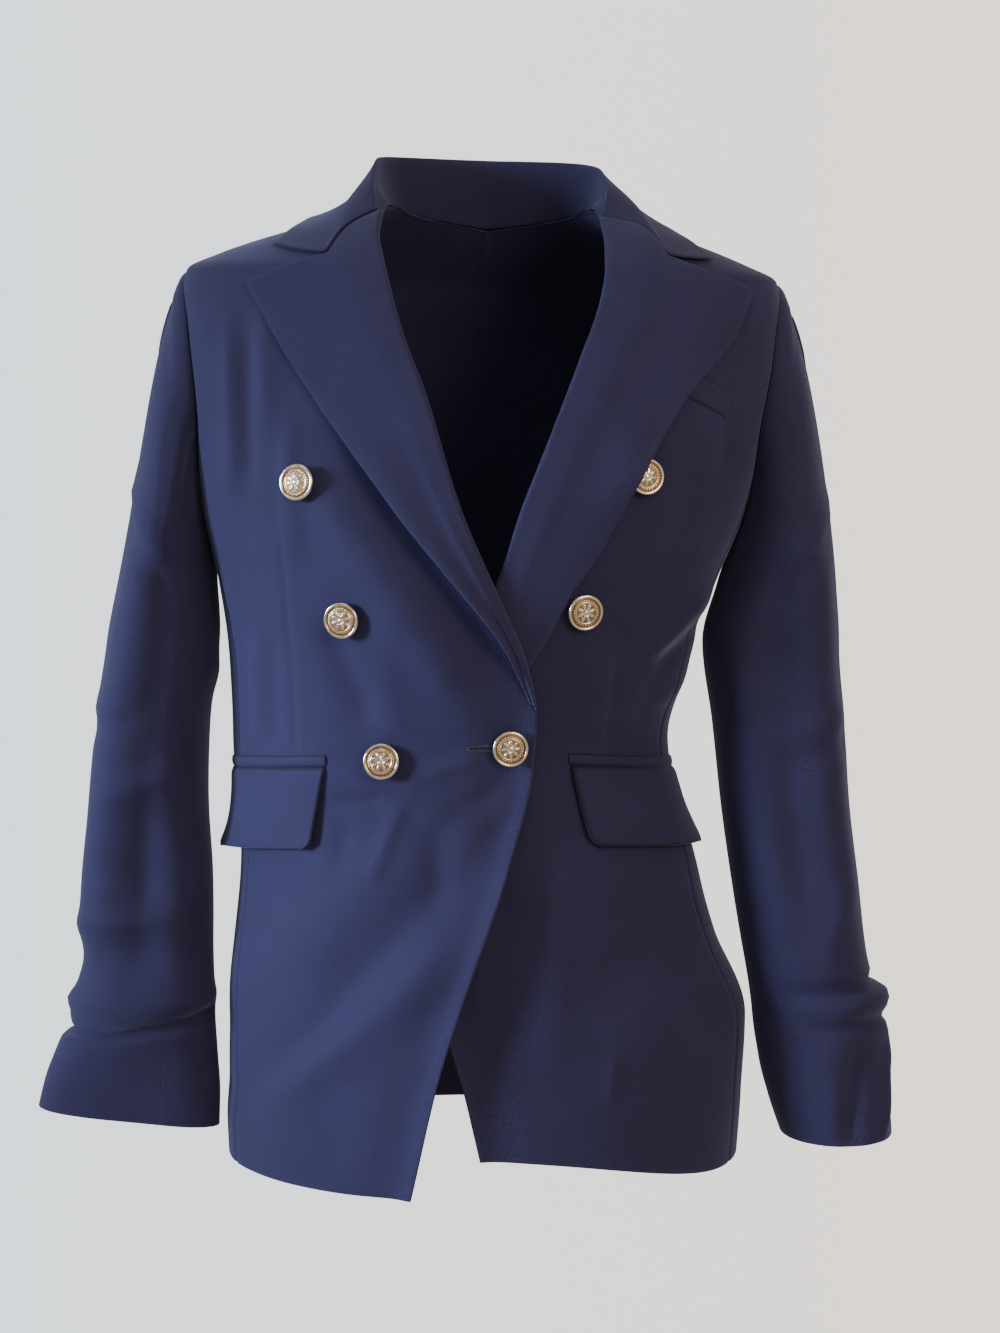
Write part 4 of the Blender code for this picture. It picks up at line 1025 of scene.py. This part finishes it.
def lapel_piece(shape):
    """The outline stretched between gorge and peak, roll line and free edge, and before its
    first column the half circle that brings the cloth round the roll from behind."""
    top = bent_curve(shape.gorge, shape.peak, LAPEL_COLUMNS, GORGE_STEP)
    outline = smooth_curve(shape.outline, LAPEL_ROWS, LAPEL_SPREAD)
    heights = np.linspace(top[0, 1], BREAK_Z[shape.side], LAPEL_ROWS)
    inner = np.stack([edge_x(shape.side, heights), heights], -1)
    inner = smooth_curve(inner[::6].tolist() + [inner[-1]], LAPEL_ROWS, LAPEL_SPREAD)
    bottom = inner[-1] + (outline[-1] - inner[-1]) * np.linspace(0, 1, LAPEL_COLUMNS)[:, None]
    flat = stretch_between(top, bottom, inner, outline)[::-1]
    x, z = flat[..., 0], flat[..., 1]
    across = np.broadcast_to(np.linspace(0, 1, LAPEL_COLUMNS), x.shape)
    down = np.broadcast_to(np.linspace(1, 0, LAPEL_ROWS)[:, None], x.shape)
    q = quarter_at_x(x, z)
    calm = CALM[shape.side]
    face = front_face(shape.side, q, z, lapel_rise(shape, x, z, across, down) + CLOTH, calm)
    behind = front_face(shape.side, q[:, 0], z[:, 0], -CLOTH)
    start = face[:, 0]
    inward = unit(start - face[:, 2])
    middle, reach = (start + behind) / 2, np.linalg.norm(start - behind, axis=-1)[:, None] / 2
    turn = np.linspace(-math.pi / 2, math.pi / 2, ROLL_STEPS + 1)[:-1]
    up = unit(start - behind)
    roll = np.stack([middle + reach * (np.sin(t) * up + np.cos(t) * inward) for t in turn], 1)
    outer = facing(shape.side, np.concatenate([roll, face], 1))[0]
    sew(f"lapel_{shape.word}", outer, "folded", [f"front_{shape.word}"],
        worn="lt" if shape.side < 0 else "rt", thickness=FOLDED_CLOTH)


for shape in LAPELS:
    lapel_piece(shape)

# %% [markdown]
# ## Collar
# The collar is one strip with a stand inside the neck and a fall outside it, and the fold
# between them carries on from the roll line of the lapels. Its ends meet the lapels at the
# gorge seam and leave a notch. Each station round the neck has one smooth section: the foot at
# the neck seam, the fold line, a knee, and the outer edge, which lies on the shoulders.

# %% Stations round the neck
RIGHT_COLLAR = spots(         # stations from the front end back: the fold, the outer edge
    ((-69.5, -35, -12), (-133.5, -48, -35)), ((-72.5, -18, 10), (-122.5, -25, -22)),
    ((-70.5, 6, 27.5), (-110, 2, -11)), ((-59, 34, 31), (-92, 40, -14)),
    ((-30, 54, 32), (-50, 68, -20)), ((5, 61, 32), (5, 76, -23)))
LEFT_COLLAR = spots(
    ((80, -38, -13), (149, -50, -38.5)), ((83, -19, 7), (134, -25, -24)),
    ((80, 6, 23), (118, 2, -11.5)), ((68, 34, 29), (100, 40, -14)),
    ((40, 54, 31.5), (60, 68, -20)), ((5, 61, 32), (5, 76, -23)))
KNEE = {-1: (0.34, 0.34, 0.68), 1: (0.52, 0.52, 0.62)}     # shares of the way from fold to edge
STATIONS, FALL_COLUMNS, END_CORNER, STAND_COLUMNS = 64, 36, 18, 18
END_REACH = 0.5               # share of a half collar that its front end bends
CORNER_SHARE = 0.42           # how far across a lapel the gorge seam ends
COLLAR_OFF, END_OFF = 3.6 * MM, 2.4 * MM     # the fall's outer face over back and chest
GORGE_STEP_UP = 0.5 * MM      # the open line of the gorge seam
STAND_INSET, STAND_DROP, FOOT_INSET = 2.6 * MM, 3.0 * MM, 1.2 * MM
FRONT_FOOT_Z = (-0.012, -0.006)       # where the stand's foot runs along the front's edge
STAND_GROWS = 0.16            # share of a half collar over which its stand rises
STAND_BULGE, CROWN = 0.6, 1.1         # how full the stand and the fold are, 0 and 1 plain
NECK_MIDDLE = (0.005, 0.010, 0.0)


def outside(points):
    """A level-set distance to the form and its slope: the section's own equation divided by
    the size of its gradient."""
    def level(p):
        z = p[..., 2]
        shift, half_width, fullness = form(z, "shift half_width fullness")
        depth = np.where(p[..., 1] < 0, *form(z, "front back"))
        return ((p[..., 0] - shift) / half_width) ** 2 + (np.abs(p[..., 1]) / depth) ** (2 / fullness) - 1
    step = 0.0005
    slope = np.stack([(level(points + step * axis) - level(points - step * axis)) / (2 * step)
                      for axis in np.eye(3)], -1)
    size = np.linalg.norm(slope, axis=-1, keepdims=True)
    return level(points) / size[..., 0], slope / size


def lay_over(points, gap):
    """Points stepped straight out of the form until they clear it by the gap."""
    for _ in range(6):
        distance, out = outside(points)
        points = points + out * np.clip(gap - distance, 0, 0.01)[..., None]
    return points


def blurred(grid, axis, passes):
    """A grid evened out along one axis by a 1-2-1 average, its two ends held."""
    for _ in range(passes):
        moved = np.moveaxis(grid, axis, 0)
        moved[1:-1] = (moved[:-2] + 2 * moved[1:-1] + moved[2:]) / 4
    return grid


def collar_half(side, rows, gorge, end, shape):
    """From the front end to the centre back: stand, fold and fall as one grid of points."""
    fold, edge = smooth_curve(rows[:, 0], STATIONS), smooth_curve(rows[:, 1], STATIONS)
    u = np.linspace(0, 1, FALL_COLUMNS)[None, :, None]
    knee = fold + (edge - fold) * np.array(KNEE[side])
    fall = fold[:, None] * (1 - u) ** 2 + knee[:, None] * 2 * u * (1 - u) + edge[:, None] * u ** 2
    outline = bent_curve(gorge, end, FALL_COLUMNS, END_CORNER)
    x, z = outline[:, 0], outline[:, 1] + GORGE_STEP_UP
    across = np.append(np.linspace(0, CORNER_SHARE, END_CORNER + 1),
                       np.linspace(CORNER_SHARE, 1, FALL_COLUMNS - END_CORNER)[1:])
    q = quarter_at_x(x, z)
    rise = lapel_rise(shape, x, z, across, np.zeros_like(x))
    front_end = front_face(side, q, z, rise + CLOTH, CALM[side])
    fade = np.clip(1 - np.linspace(0, 1, STATIONS) / END_REACH, 0, 1) ** 2
    fall = fall + (front_end - fall[0]) * fade[:, None, None]
    clear = COLLAR_OFF * (1 - fade) + END_OFF * fade
    fall = lay_over(fall, clear[:, None])
    start_q = side * quarter_at_x(edge_x(side, 0.0), 0.0)
    foot = [front_face(side, quarter_at_x(edge_x(side, height), height), height)
            for height in FRONT_FOOT_Z]
    foot += [torso(side * q, 0.0) for q in np.linspace(start_q, 1.0, 4)[:-1]]
    foot += [torso(side * row.q, row.z) for row in BACK_NECK]
    foot = smooth_curve(foot, STATIONS)
    inward = np.array(NECK_MIDDLE) - fall[:, 0]
    inward[:, 2] = 0
    inward = unit(inward)
    grown = ramp(np.linspace(0, 1, STATIONS), 0.0, STAND_GROWS)[:, None]
    foot = foot + inward * FOOT_INSET
    fold_top = fall[:, 0]
    upward = np.array([0, 0, 1.0])
    stand_top = fold_top + inward * STAND_INSET - upward * STAND_DROP * grown
    v = np.linspace(0, 1, STAND_COLUMNS)[:, None, None]
    drop = np.linalg.norm(stand_top - foot, axis=1)[:, None]
    top_way = unit(upward * grown + inward * (1.001 - grown))
    stand = (foot * (1 + 2 * v) * (1 - v) ** 2 + stand_top * v * v * (3 - 2 * v)
             + (stand_top - foot) * STAND_BULGE * v * (1 - v) ** 2
             - top_way * drop * STAND_BULGE * v * v * (1 - v))
    w = np.linspace(0, math.pi, 9)[1:-1, None, None]
    middle, half = (stand_top + fold_top) / 2, (fold_top - stand_top) / 2
    crown = np.linalg.norm(half, axis=1)[:, None] * CROWN
    crown_way = unit(upward * grown + 0.001 + inward * (1 - grown))
    fold_round = middle - half * np.cos(w) + crown_way * crown * np.sin(w)
    return np.concatenate([stand, fold_round, fall.transpose(1, 0, 2)]).transpose(1, 0, 2)


def collar_piece():
    """Both halves joined at the centre back, evened a little, as one shell."""
    left = collar_half(1, LEFT_COLLAR, LEFT_GORGE, LEFT_COLLAR_END, LAPELS[1])
    right = collar_half(-1, RIGHT_COLLAR, RIGHT_GORGE, RIGHT_COLLAR_END, LAPELS[0])
    grid = np.concatenate([left, right[-2::-1]])
    grid = blurred(blurred(grid, 0, 6), 1, 2)
    outer = grid.transpose(1, 0, 2)[::-1]
    sew("collar", outer, "folded", ["front_right", "front_left"], ["collar", "collar_stand"],
        worn="b", thickness=FOLDED_CLOTH)


collar_piece()

# %% [markdown]
# ## Pockets
# A flap pocket is a slot under a narrow jet, covered by a flap with rounded lower corners.
# The flaps are lined and pressed, so they hold their own flat shape and stand off the front
# where it curves away. The breast pocket has only a slanting welt.

# %% Flaps, jets and the breast welt
Pocket = namedtuple("Pocket", "side word top_in top_out low_in low_out flare lift")
POCKETS = [
    Pocket(-1, "right", 0.352, 0.930, 0.425, 0.935, 9.0 * MM, 4.0 * MM),
    Pocket(1, "left", 0.360, 0.930, 0.374, 0.960, 2.0 * MM, 3.2 * MM),
]
POCKET_Z, POCKET_FALL = -0.3635, 0.021
FLAP_DEPTH, FLAP_CORNER = 0.052, 0.13
JET_DEPTH, JET_HEIGHT, JET_END = 7.0 * MM, 1.5 * MM, 0.01    # JET_END, share past the flap
FLAP_GAP, FLAP_WAVE, HINGE_DIP = 0.9 * MM, 0.5 * MM, 1.2 * MM
FLAP_ROWS, FLAP_COLUMNS, FLAP_CLOTH = 40, 60, 2.0 * MM


def pocket_line(q):
    """Height of the top of the flap at the quarter turn q."""
    return POCKET_Z - POCKET_FALL * (np.abs(q) - POCKETS[1].top_in)


def flap_piece(pocket):
    """Across from the inner to the outer end and down from the jet; the lower corners are
    rounded by pulling the ends of the last rows in along a quarter circle."""
    s = np.linspace(0, 1, FLAP_COLUMNS)[None]
    t = np.linspace(1, 0, FLAP_ROWS)[:, None]
    corner = np.clip((t - (1 - FLAP_CORNER)) / FLAP_CORNER, 0, 1)
    pull = FLAP_CORNER * 0.42 * (1 - np.sqrt(1 - corner ** 2 * 0.999))
    s = pull + (1 - 2 * pull) * s
    start = pocket.top_in + (pocket.low_in - pocket.top_in) * t
    end = pocket.top_out + (pocket.low_out - pocket.top_out) * t
    q = pocket.side * (start + (end - start) * s)
    z = pocket_line(q) - 0.4 * MM - FLAP_DEPTH * t
    off = FLAP_GAP + pocket.lift * t ** 0.8 + pocket.flare * (t * s) ** 3
    off = off + FLAP_WAVE * np.sin(7 * s + 2 * t) * t - HINGE_DIP * np.exp(-(t / 0.04) ** 2)
    q, z, off = facing(pocket.side, *np.broadcast_arrays(q, z, off))
    outer = front_face(pocket.side, q, z, off + CLOTH)
    # Painted shade along the flap's top under the jet, and on the left flap along its inner end and lower
    # edge, for the shadow in the gap round it.
    painted_shade = 0.9 * np.exp(-(t / 0.030) ** 2) + 0 * q
    if pocket.side > 0:
        painted_shade = painted_shade + 0.8 * np.exp(-((q - q[:, :1]) / 0.010) ** 2) + 0.7 * np.exp(-((1 - t) / 0.020) ** 2)
    sew(f"flap_{pocket.word}", outer, "hung", [f"front_{pocket.word}"], thickness=FLAP_CLOTH,
        crevice=painted_shade)


def jet_piece(pocket):
    """A narrow roll along the pocket line: its off height is a sine across its depth."""
    s = np.linspace(-JET_END, 1 + JET_END, 70)[None]
    t = np.linspace(0, 1, 15)[:, None]
    q = pocket.side * (pocket.top_in + (pocket.top_out - pocket.top_in) * s)
    z = pocket_line(q) + 0.2 * MM + JET_DEPTH * t
    off = 0.1 * MM + JET_HEIGHT * np.sin(math.pi * (0.08 + 0.84 * t)) ** 0.6
    q, z, off = facing(pocket.side, *np.broadcast_arrays(q, z, off))
    outer = front_face(pocket.side, q, z, off)
    # Painted shade along the jet's top and bottom edges, for the shadow in the narrow gaps above and below
    # it.
    painted_shade = np.exp(-((1 - t) / 0.10) ** 2) + 0.8 * np.exp(-(t / 0.12) ** 2) + 0 * s
    sew(f"jet_{pocket.word}", outer, "folded", [f"front_{pocket.word}"], thickness=BAND_CLOTH,
        crevice=painted_shade)


for pocket in POCKETS:
    flap_piece(pocket)
    jet_piece(pocket)

BREAST_INNER, BREAST_OUTER, BREAST_DEPTH = (0.0860, -0.1035), (0.1580, -0.1380), 0.0170


def breast_welt():
    """A slanting band: its foot runs from the inner to the outer end, its top is BREAST_DEPTH up."""
    s, t = np.linspace(0, 1, 60)[None], np.linspace(0, 1, 16)[:, None]
    x = BREAST_INNER[0] + (BREAST_OUTER[0] - BREAST_INNER[0]) * s + 0.002 * t * s
    z = BREAST_INNER[1] + (BREAST_OUTER[1] - BREAST_INNER[1]) * s + BREAST_DEPTH * t
    outer = front_face(1, quarter_at_x(x, z), z, 0.2 * MM + 1.0 * MM * ramp(t, 0.0, 0.25) + 0 * s)
    # Painted shade along the welt's foot and top edge, for the shadow in the gaps there.
    painted_shade = 0.7 * np.exp(-(t / 0.07) ** 2) + 0.6 * np.exp(-((1 - t) / 0.05) ** 2) + 0 * s
    sew("breast_welt", outer, "folded", ["front_left"], thickness=BAND_CLOTH, crevice=painted_shade)


breast_welt()

# %% [markdown]
# ## Buttons
# Each button is pressed from a round blank: a smooth raised rim, a groove, and a low dome
# with a raised pattern, here a plain rosette ringed with dots. Height over radius and turn is
# one formula, so the whole face is a polar grid, and its sides and its shank are more rings.

# %% The button's face and body
BUTTON_RADIUS, SHANK_HEIGHT = 11.5 * MM, 2.6 * MM
DOME = 1.1 * MM
FACE_HEIGHT = SHANK_HEIGHT + 3.3 * MM
BUTTON_TURNS = 112
PETALS, DOTS = 8, 28
BUTTON_UNDER = [              # share of the radius, height: the side, the underside, the shank
    (1.015, FACE_HEIGHT - 0.5 * MM), (1.0, FACE_HEIGHT - 1.2 * MM), (0.90, FACE_HEIGHT - 1.9 * MM),
    (0.60, SHANK_HEIGHT + 0.5 * MM), (0.27, SHANK_HEIGHT + 0.2 * MM), (0.20, SHANK_HEIGHT * 0.6),
    (0.20, 0.0), (0.012, 0.0),
]


def bead(r, centre, width):
    """A round ridge over the radius r."""
    return np.sqrt(np.clip(1 - ((r - centre) / width) ** 2, 0, 1))


def button_face(r, turn):
    """Height of the face: dome, rim bead and groove, petals that meet in the middle, an inner
    ring, and a ring of dots; r runs from 0 to 1. Returns height and how hollow it is."""
    dome = DOME * (1 - r ** 2) * ramp(-r, -0.84, -0.70)
    rim = 0.75 * MM * bead(r, 0.91, 0.085)
    groove = -0.35 * MM * bead(r, 0.80, 0.05)
    petal = np.abs(np.cos(PETALS / 2 * turn)) ** 0.6
    petals = 0.55 * MM * ramp(petal * 0.56 - r, 0.0, 0.10) * ramp(r, 0.10, 0.2)
    between_petals = np.exp(-(np.sin(PETALS / 2 * turn + math.pi / 2) / 0.10) ** 2)
    vein = -0.25 * MM * between_petals * ramp(-r, -0.5, -0.2)
    eye = 0.5 * MM * bead(r, 0.0, 0.13)
    ring = 0.35 * MM * bead(r, 0.595, 0.03)
    off_dot = ((r - 0.69) / 0.05) ** 2 + (np.sin(DOTS / 2 * turn) / 0.75) ** 2
    dots = 0.4 * MM * np.clip(1 - off_dot, 0, 1) ** 0.5
    raised = petals + eye + ring + dots
    hollow = ramp(-r, -0.86, -0.82) * (1 - ramp(raised, 0.02 * MM, 0.3 * MM)) + ramp(-vein, 0, 0.2 * MM)
    return dome + rim + groove + raised + vein, np.clip(hollow, 0, 1)


def end_cap(ring):
    """Four-cornered faces that close a ring of points straight across."""
    half = len(ring) // 2
    back = ring[::-1]
    return np.stack([ring[:half - 1], ring[1:half], back[1:half], back[:half - 1]], -1)


def button_piece(name, side, x, z, tip, spin):
    """The polar grid set on the front, its axis along the form's normal and tipped a little."""
    r = np.concatenate([np.linspace(0.012, 0.86, 46), np.linspace(0.87, 1.0, 14)])[:, None]
    turn = np.linspace(0, 2 * math.pi, BUTTON_TURNS, endpoint=False)[None]
    height, hollow = button_face(r, turn)
    face = np.stack([r * BUTTON_RADIUS * np.cos(turn), r * BUTTON_RADIUS * np.sin(turn),
                     FACE_HEIGHT + height], -1)
    share, rise = np.array(BUTTON_UNDER)[:, 0, None], np.array(BUTTON_UNDER)[:, 1, None]
    under = np.stack([share * BUTTON_RADIUS * np.cos(turn), share * BUTTON_RADIUS * np.sin(turn),
                      rise + 0 * turn], -1)
    rings = np.concatenate([face, under])
    steps = np.arange(len(rings) * BUTTON_TURNS).reshape(len(rings), BUTTON_TURNS)
    hollow = np.concatenate([np.broadcast_to(hollow, (len(r), BUTTON_TURNS)),
                             np.full((len(under), BUTTON_TURNS), 0.6)])
    faces = np.concatenate([faces_between(steps), end_cap(steps[0]), end_cap(steps[-1][::-1])])
    q = quarter_at_x(x, z)
    foot = front_face(side, q, z, 0.4 * MM)
    axis = Vector(torso_normal(q, z)) + Vector(tip)
    turn_it = axis.to_track_quat("Z", "Y").to_matrix()
    spun = np.array([[math.cos(spin), -math.sin(spin), 0], [math.sin(spin), math.cos(spin), 0], [0, 0, 1]])
    points = rings.reshape(-1, 3) @ spun.T @ np.array(turn_it).T + lean(foot)
    piece = write_mesh(name, points, faces, gilt)
    store(piece, "hollow", hollow.ravel())
    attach(piece, "root")
    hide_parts(name)
    print(name, "at", np.round(foot, 3).tolist(), 2 * len(faces), "triangles")


# %% The six buttons
Button = namedtuple("Button", "name side x z tip spin")
BUTTONS = [
    Button("button_right_top", -1, -0.1120, -0.1840, (-0.06, 0, 0.05), 0.2),
    Button("button_right_middle", -1, -0.0845, -0.2670, (0.0, 0, 0.03), 1.1),
    Button("button_right_low", -1, -0.0618, -0.3585, (0.10, 0, 0.10), 2.0),
    Button("button_left_top", 1, LEFT_TOP_BUTTON[0], LEFT_TOP_BUTTON[1], (0.04, 0, -0.02), 0.6),
    Button("button_left_middle", 1, 0.0645, -0.2620, (0.0, 0, 0.0), 2.7),
    Button("button_fastened", -1, 0.0171, -0.3497, (-0.03, 0, 0.02), 1.6),
]
for button in BUTTONS:
    button_piece(*button)

# %% [markdown]
# ## The buttonhole behind the fastened button
# The hole is a slit worked round with silk thread, and its inner end shows beside the button.
# Each thread stitch is a bead on one small ring, so the whole edge is one closed tube.

# %% A worked buttonhole
HOLE_CENTRE, HOLE_HALF, HOLE_WIDTH = (0.0040, -0.3500), 13.0 * MM, 1.5 * MM
STITCHES, TUBE_SIDES = 46, 10


def buttonhole():
    """A stadium-shaped ring, its tube radius beaded by |sin| once for each stitch."""
    t = np.linspace(0, 2 * math.pi, STITCHES * 6, endpoint=False)
    x = HOLE_CENTRE[0] + HOLE_HALF * np.sign(np.cos(t)) * np.abs(np.cos(t)) ** 0.6
    z = HOLE_CENTRE[1] + HOLE_WIDTH * np.sign(np.sin(t)) * np.abs(np.sin(t)) ** 0.5
    q = quarter_at_x(x, z)
    line = front_face(-1, q, z, 0.2 * MM)
    along = unit(np.roll(line, -1, 0) - np.roll(line, 1, 0))
    up = torso_normal(q, z)
    aside = unit(np.cross(along, up))
    radius = (0.45 + 0.30 * np.abs(np.sin(STITCHES / 2 * t)))[:, None, None] * MM
    turn = np.linspace(0, 2 * math.pi, TUBE_SIDES, endpoint=False)[None, :, None]
    tube = line[:, None] + radius * (np.cos(turn) * aside[:, None] + np.sin(turn) * up[:, None])
    steps = np.arange(tube.shape[0] * TUBE_SIDES).reshape(-1, TUBE_SIDES)
    faces = faces_between(np.concatenate([steps, steps[:1]]))
    piece = write_mesh("buttonhole_stitching", lean(tube.reshape(-1, 3)), faces, thread)
    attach(piece, "root")


buttonhole()

# %% [markdown]
# ## Light, floor and camera
# The blazer is seen by daylight from a window at the wearer's right, so that half is cool and
# bright, and the other half falls into a warm shade. A narrow blue beam gives the window, a
# broad warm light the room in front, and two weak ones a shine from behind and above. The
# world fills the shadows, and to the camera it is a plain wall, cool on the window's side and
# warm on the other. The floor lies well below, because the wearer holds the blazer up.

# %% Room
FLOOR_Z, FLOOR_RADII, FLOOR_TURNS = -1.45, (0.001, 0.4, 0.9, 1.5), 96


def plain_floor():
    """A round pale floor, as rings of quads from a small middle ring to the far edge."""
    turn = np.linspace(0, 2 * math.pi, FLOOR_TURNS, endpoint=False)
    radius = np.array(FLOOR_RADII)[:, None]
    ring = np.stack([radius * np.cos(turn), radius * np.sin(turn), FLOOR_Z + 0 * radius * turn], -1)
    steps = np.arange(radius.size * FLOOR_TURNS).reshape(-1, FLOOR_TURNS)
    finish = Finish("pale_floor", Roughness=0.9)
    place = finish.node("ShaderNodeTexCoord", output=3)
    cloud = finish.noise(place, 1.5)
    finish.feed("Base Color", finish.mix(cloud, (0.72, 0.71, 0.70, 1), (0.78, 0.77, 0.76, 1)))
    write_mesh("floor", ring.reshape(-1, 3), faces_between(steps), finish.material)


def area_light(name, place, target, size, power, colour, spread=180):
    """A square area light of a size in metres, turned to face its target; spread narrows its beam."""
    light = bpy.data.lights.new(name, "AREA")
    light.size, light.energy, light.color = size, power, colour
    light.spread = math.radians(spread)
    lamp = bpy.data.objects.new(name, light)
    bpy.context.scene.collection.objects.link(lamp)
    lamp.location = place
    lamp.rotation_euler = (Vector(target) - Vector(place)).to_track_quat("-Z", "Y").to_euler()


plain_floor()
CHEST = (0.0, 0.0, -0.32)
area_light("window", (-1.92, -0.86, -0.02), (0.13, -0.10, -0.44), 0.7, 3.7, (0.52, 0.64, 1.0), 25)
area_light("room", (1.2, -1.9, 0.5), CHEST, 1.0, 23.0, (1.0, 0.86, 0.78))
area_light("behind", (0.5, 2.2, 0.6), CHEST, 1.4, 4.0, (0.95, 0.96, 1.0))
area_light("above", (-0.2, -0.5, 1.6), CHEST, 1.0, 5.0, (0.95, 0.95, 1.0))


def pale_room():
    """The world: a plain wall to the camera, cool on the window's side and warm on the other,
    and a dimmer warm grey to every other ray, which fills the shadows."""
    world = bpy.data.worlds.new("pale_room")
    world.use_nodes = True
    tree = world.node_tree
    nodes, links = tree.nodes, tree.links
    fill, wall = nodes["Background"], nodes.new("ShaderNodeBackground")
    fill.inputs["Color"].default_value = (0.96, 0.88, 0.86, 1)
    fill.inputs["Strength"].default_value, wall.inputs["Strength"].default_value = 0.39, 2.5
    place = nodes.new("ShaderNodeTexCoord")
    parts = nodes.new("ShaderNodeSeparateXYZ")
    tint = nodes.new("ShaderNodeMix")
    tint.data_type = "RGBA"
    tint.inputs[6].default_value = (0.62, 0.68, 0.73, 1)
    tint.inputs[7].default_value = (0.74, 0.66, 0.59, 1)
    rays, choose = nodes.new("ShaderNodeLightPath"), nodes.new("ShaderNodeMixShader")
    links.new(place.outputs["Window"], parts.inputs[0])
    links.new(parts.outputs[0], tint.inputs[0])
    links.new(tint.outputs[2], wall.inputs["Color"])
    links.new(rays.outputs["Is Camera Ray"], choose.inputs[0])
    links.new(fill.outputs[0], choose.inputs[1])
    links.new(wall.outputs[0], choose.inputs[2])
    links.new(choose.outputs[0], nodes["World Output"].inputs["Surface"])
    bpy.context.scene.world = world


pale_room()

# %% Camera
CAMERA_PLACE = (0.012, -1.7396, -0.1195)
CAMERA_DIP = math.radians(6.25)
LENS_MM, SENSOR_MM = 69.68, 36.0

lens = bpy.data.cameras.new("camera")
lens.sensor_fit, lens.sensor_height, lens.lens = "VERTICAL", SENSOR_MM, LENS_MM
camera = bpy.data.objects.new("camera", lens)
bpy.context.scene.collection.objects.link(camera)
camera.location = CAMERA_PLACE
camera.rotation_euler = (math.pi / 2 - CAMERA_DIP, 0, 0)
bpy.context.scene.camera = camera
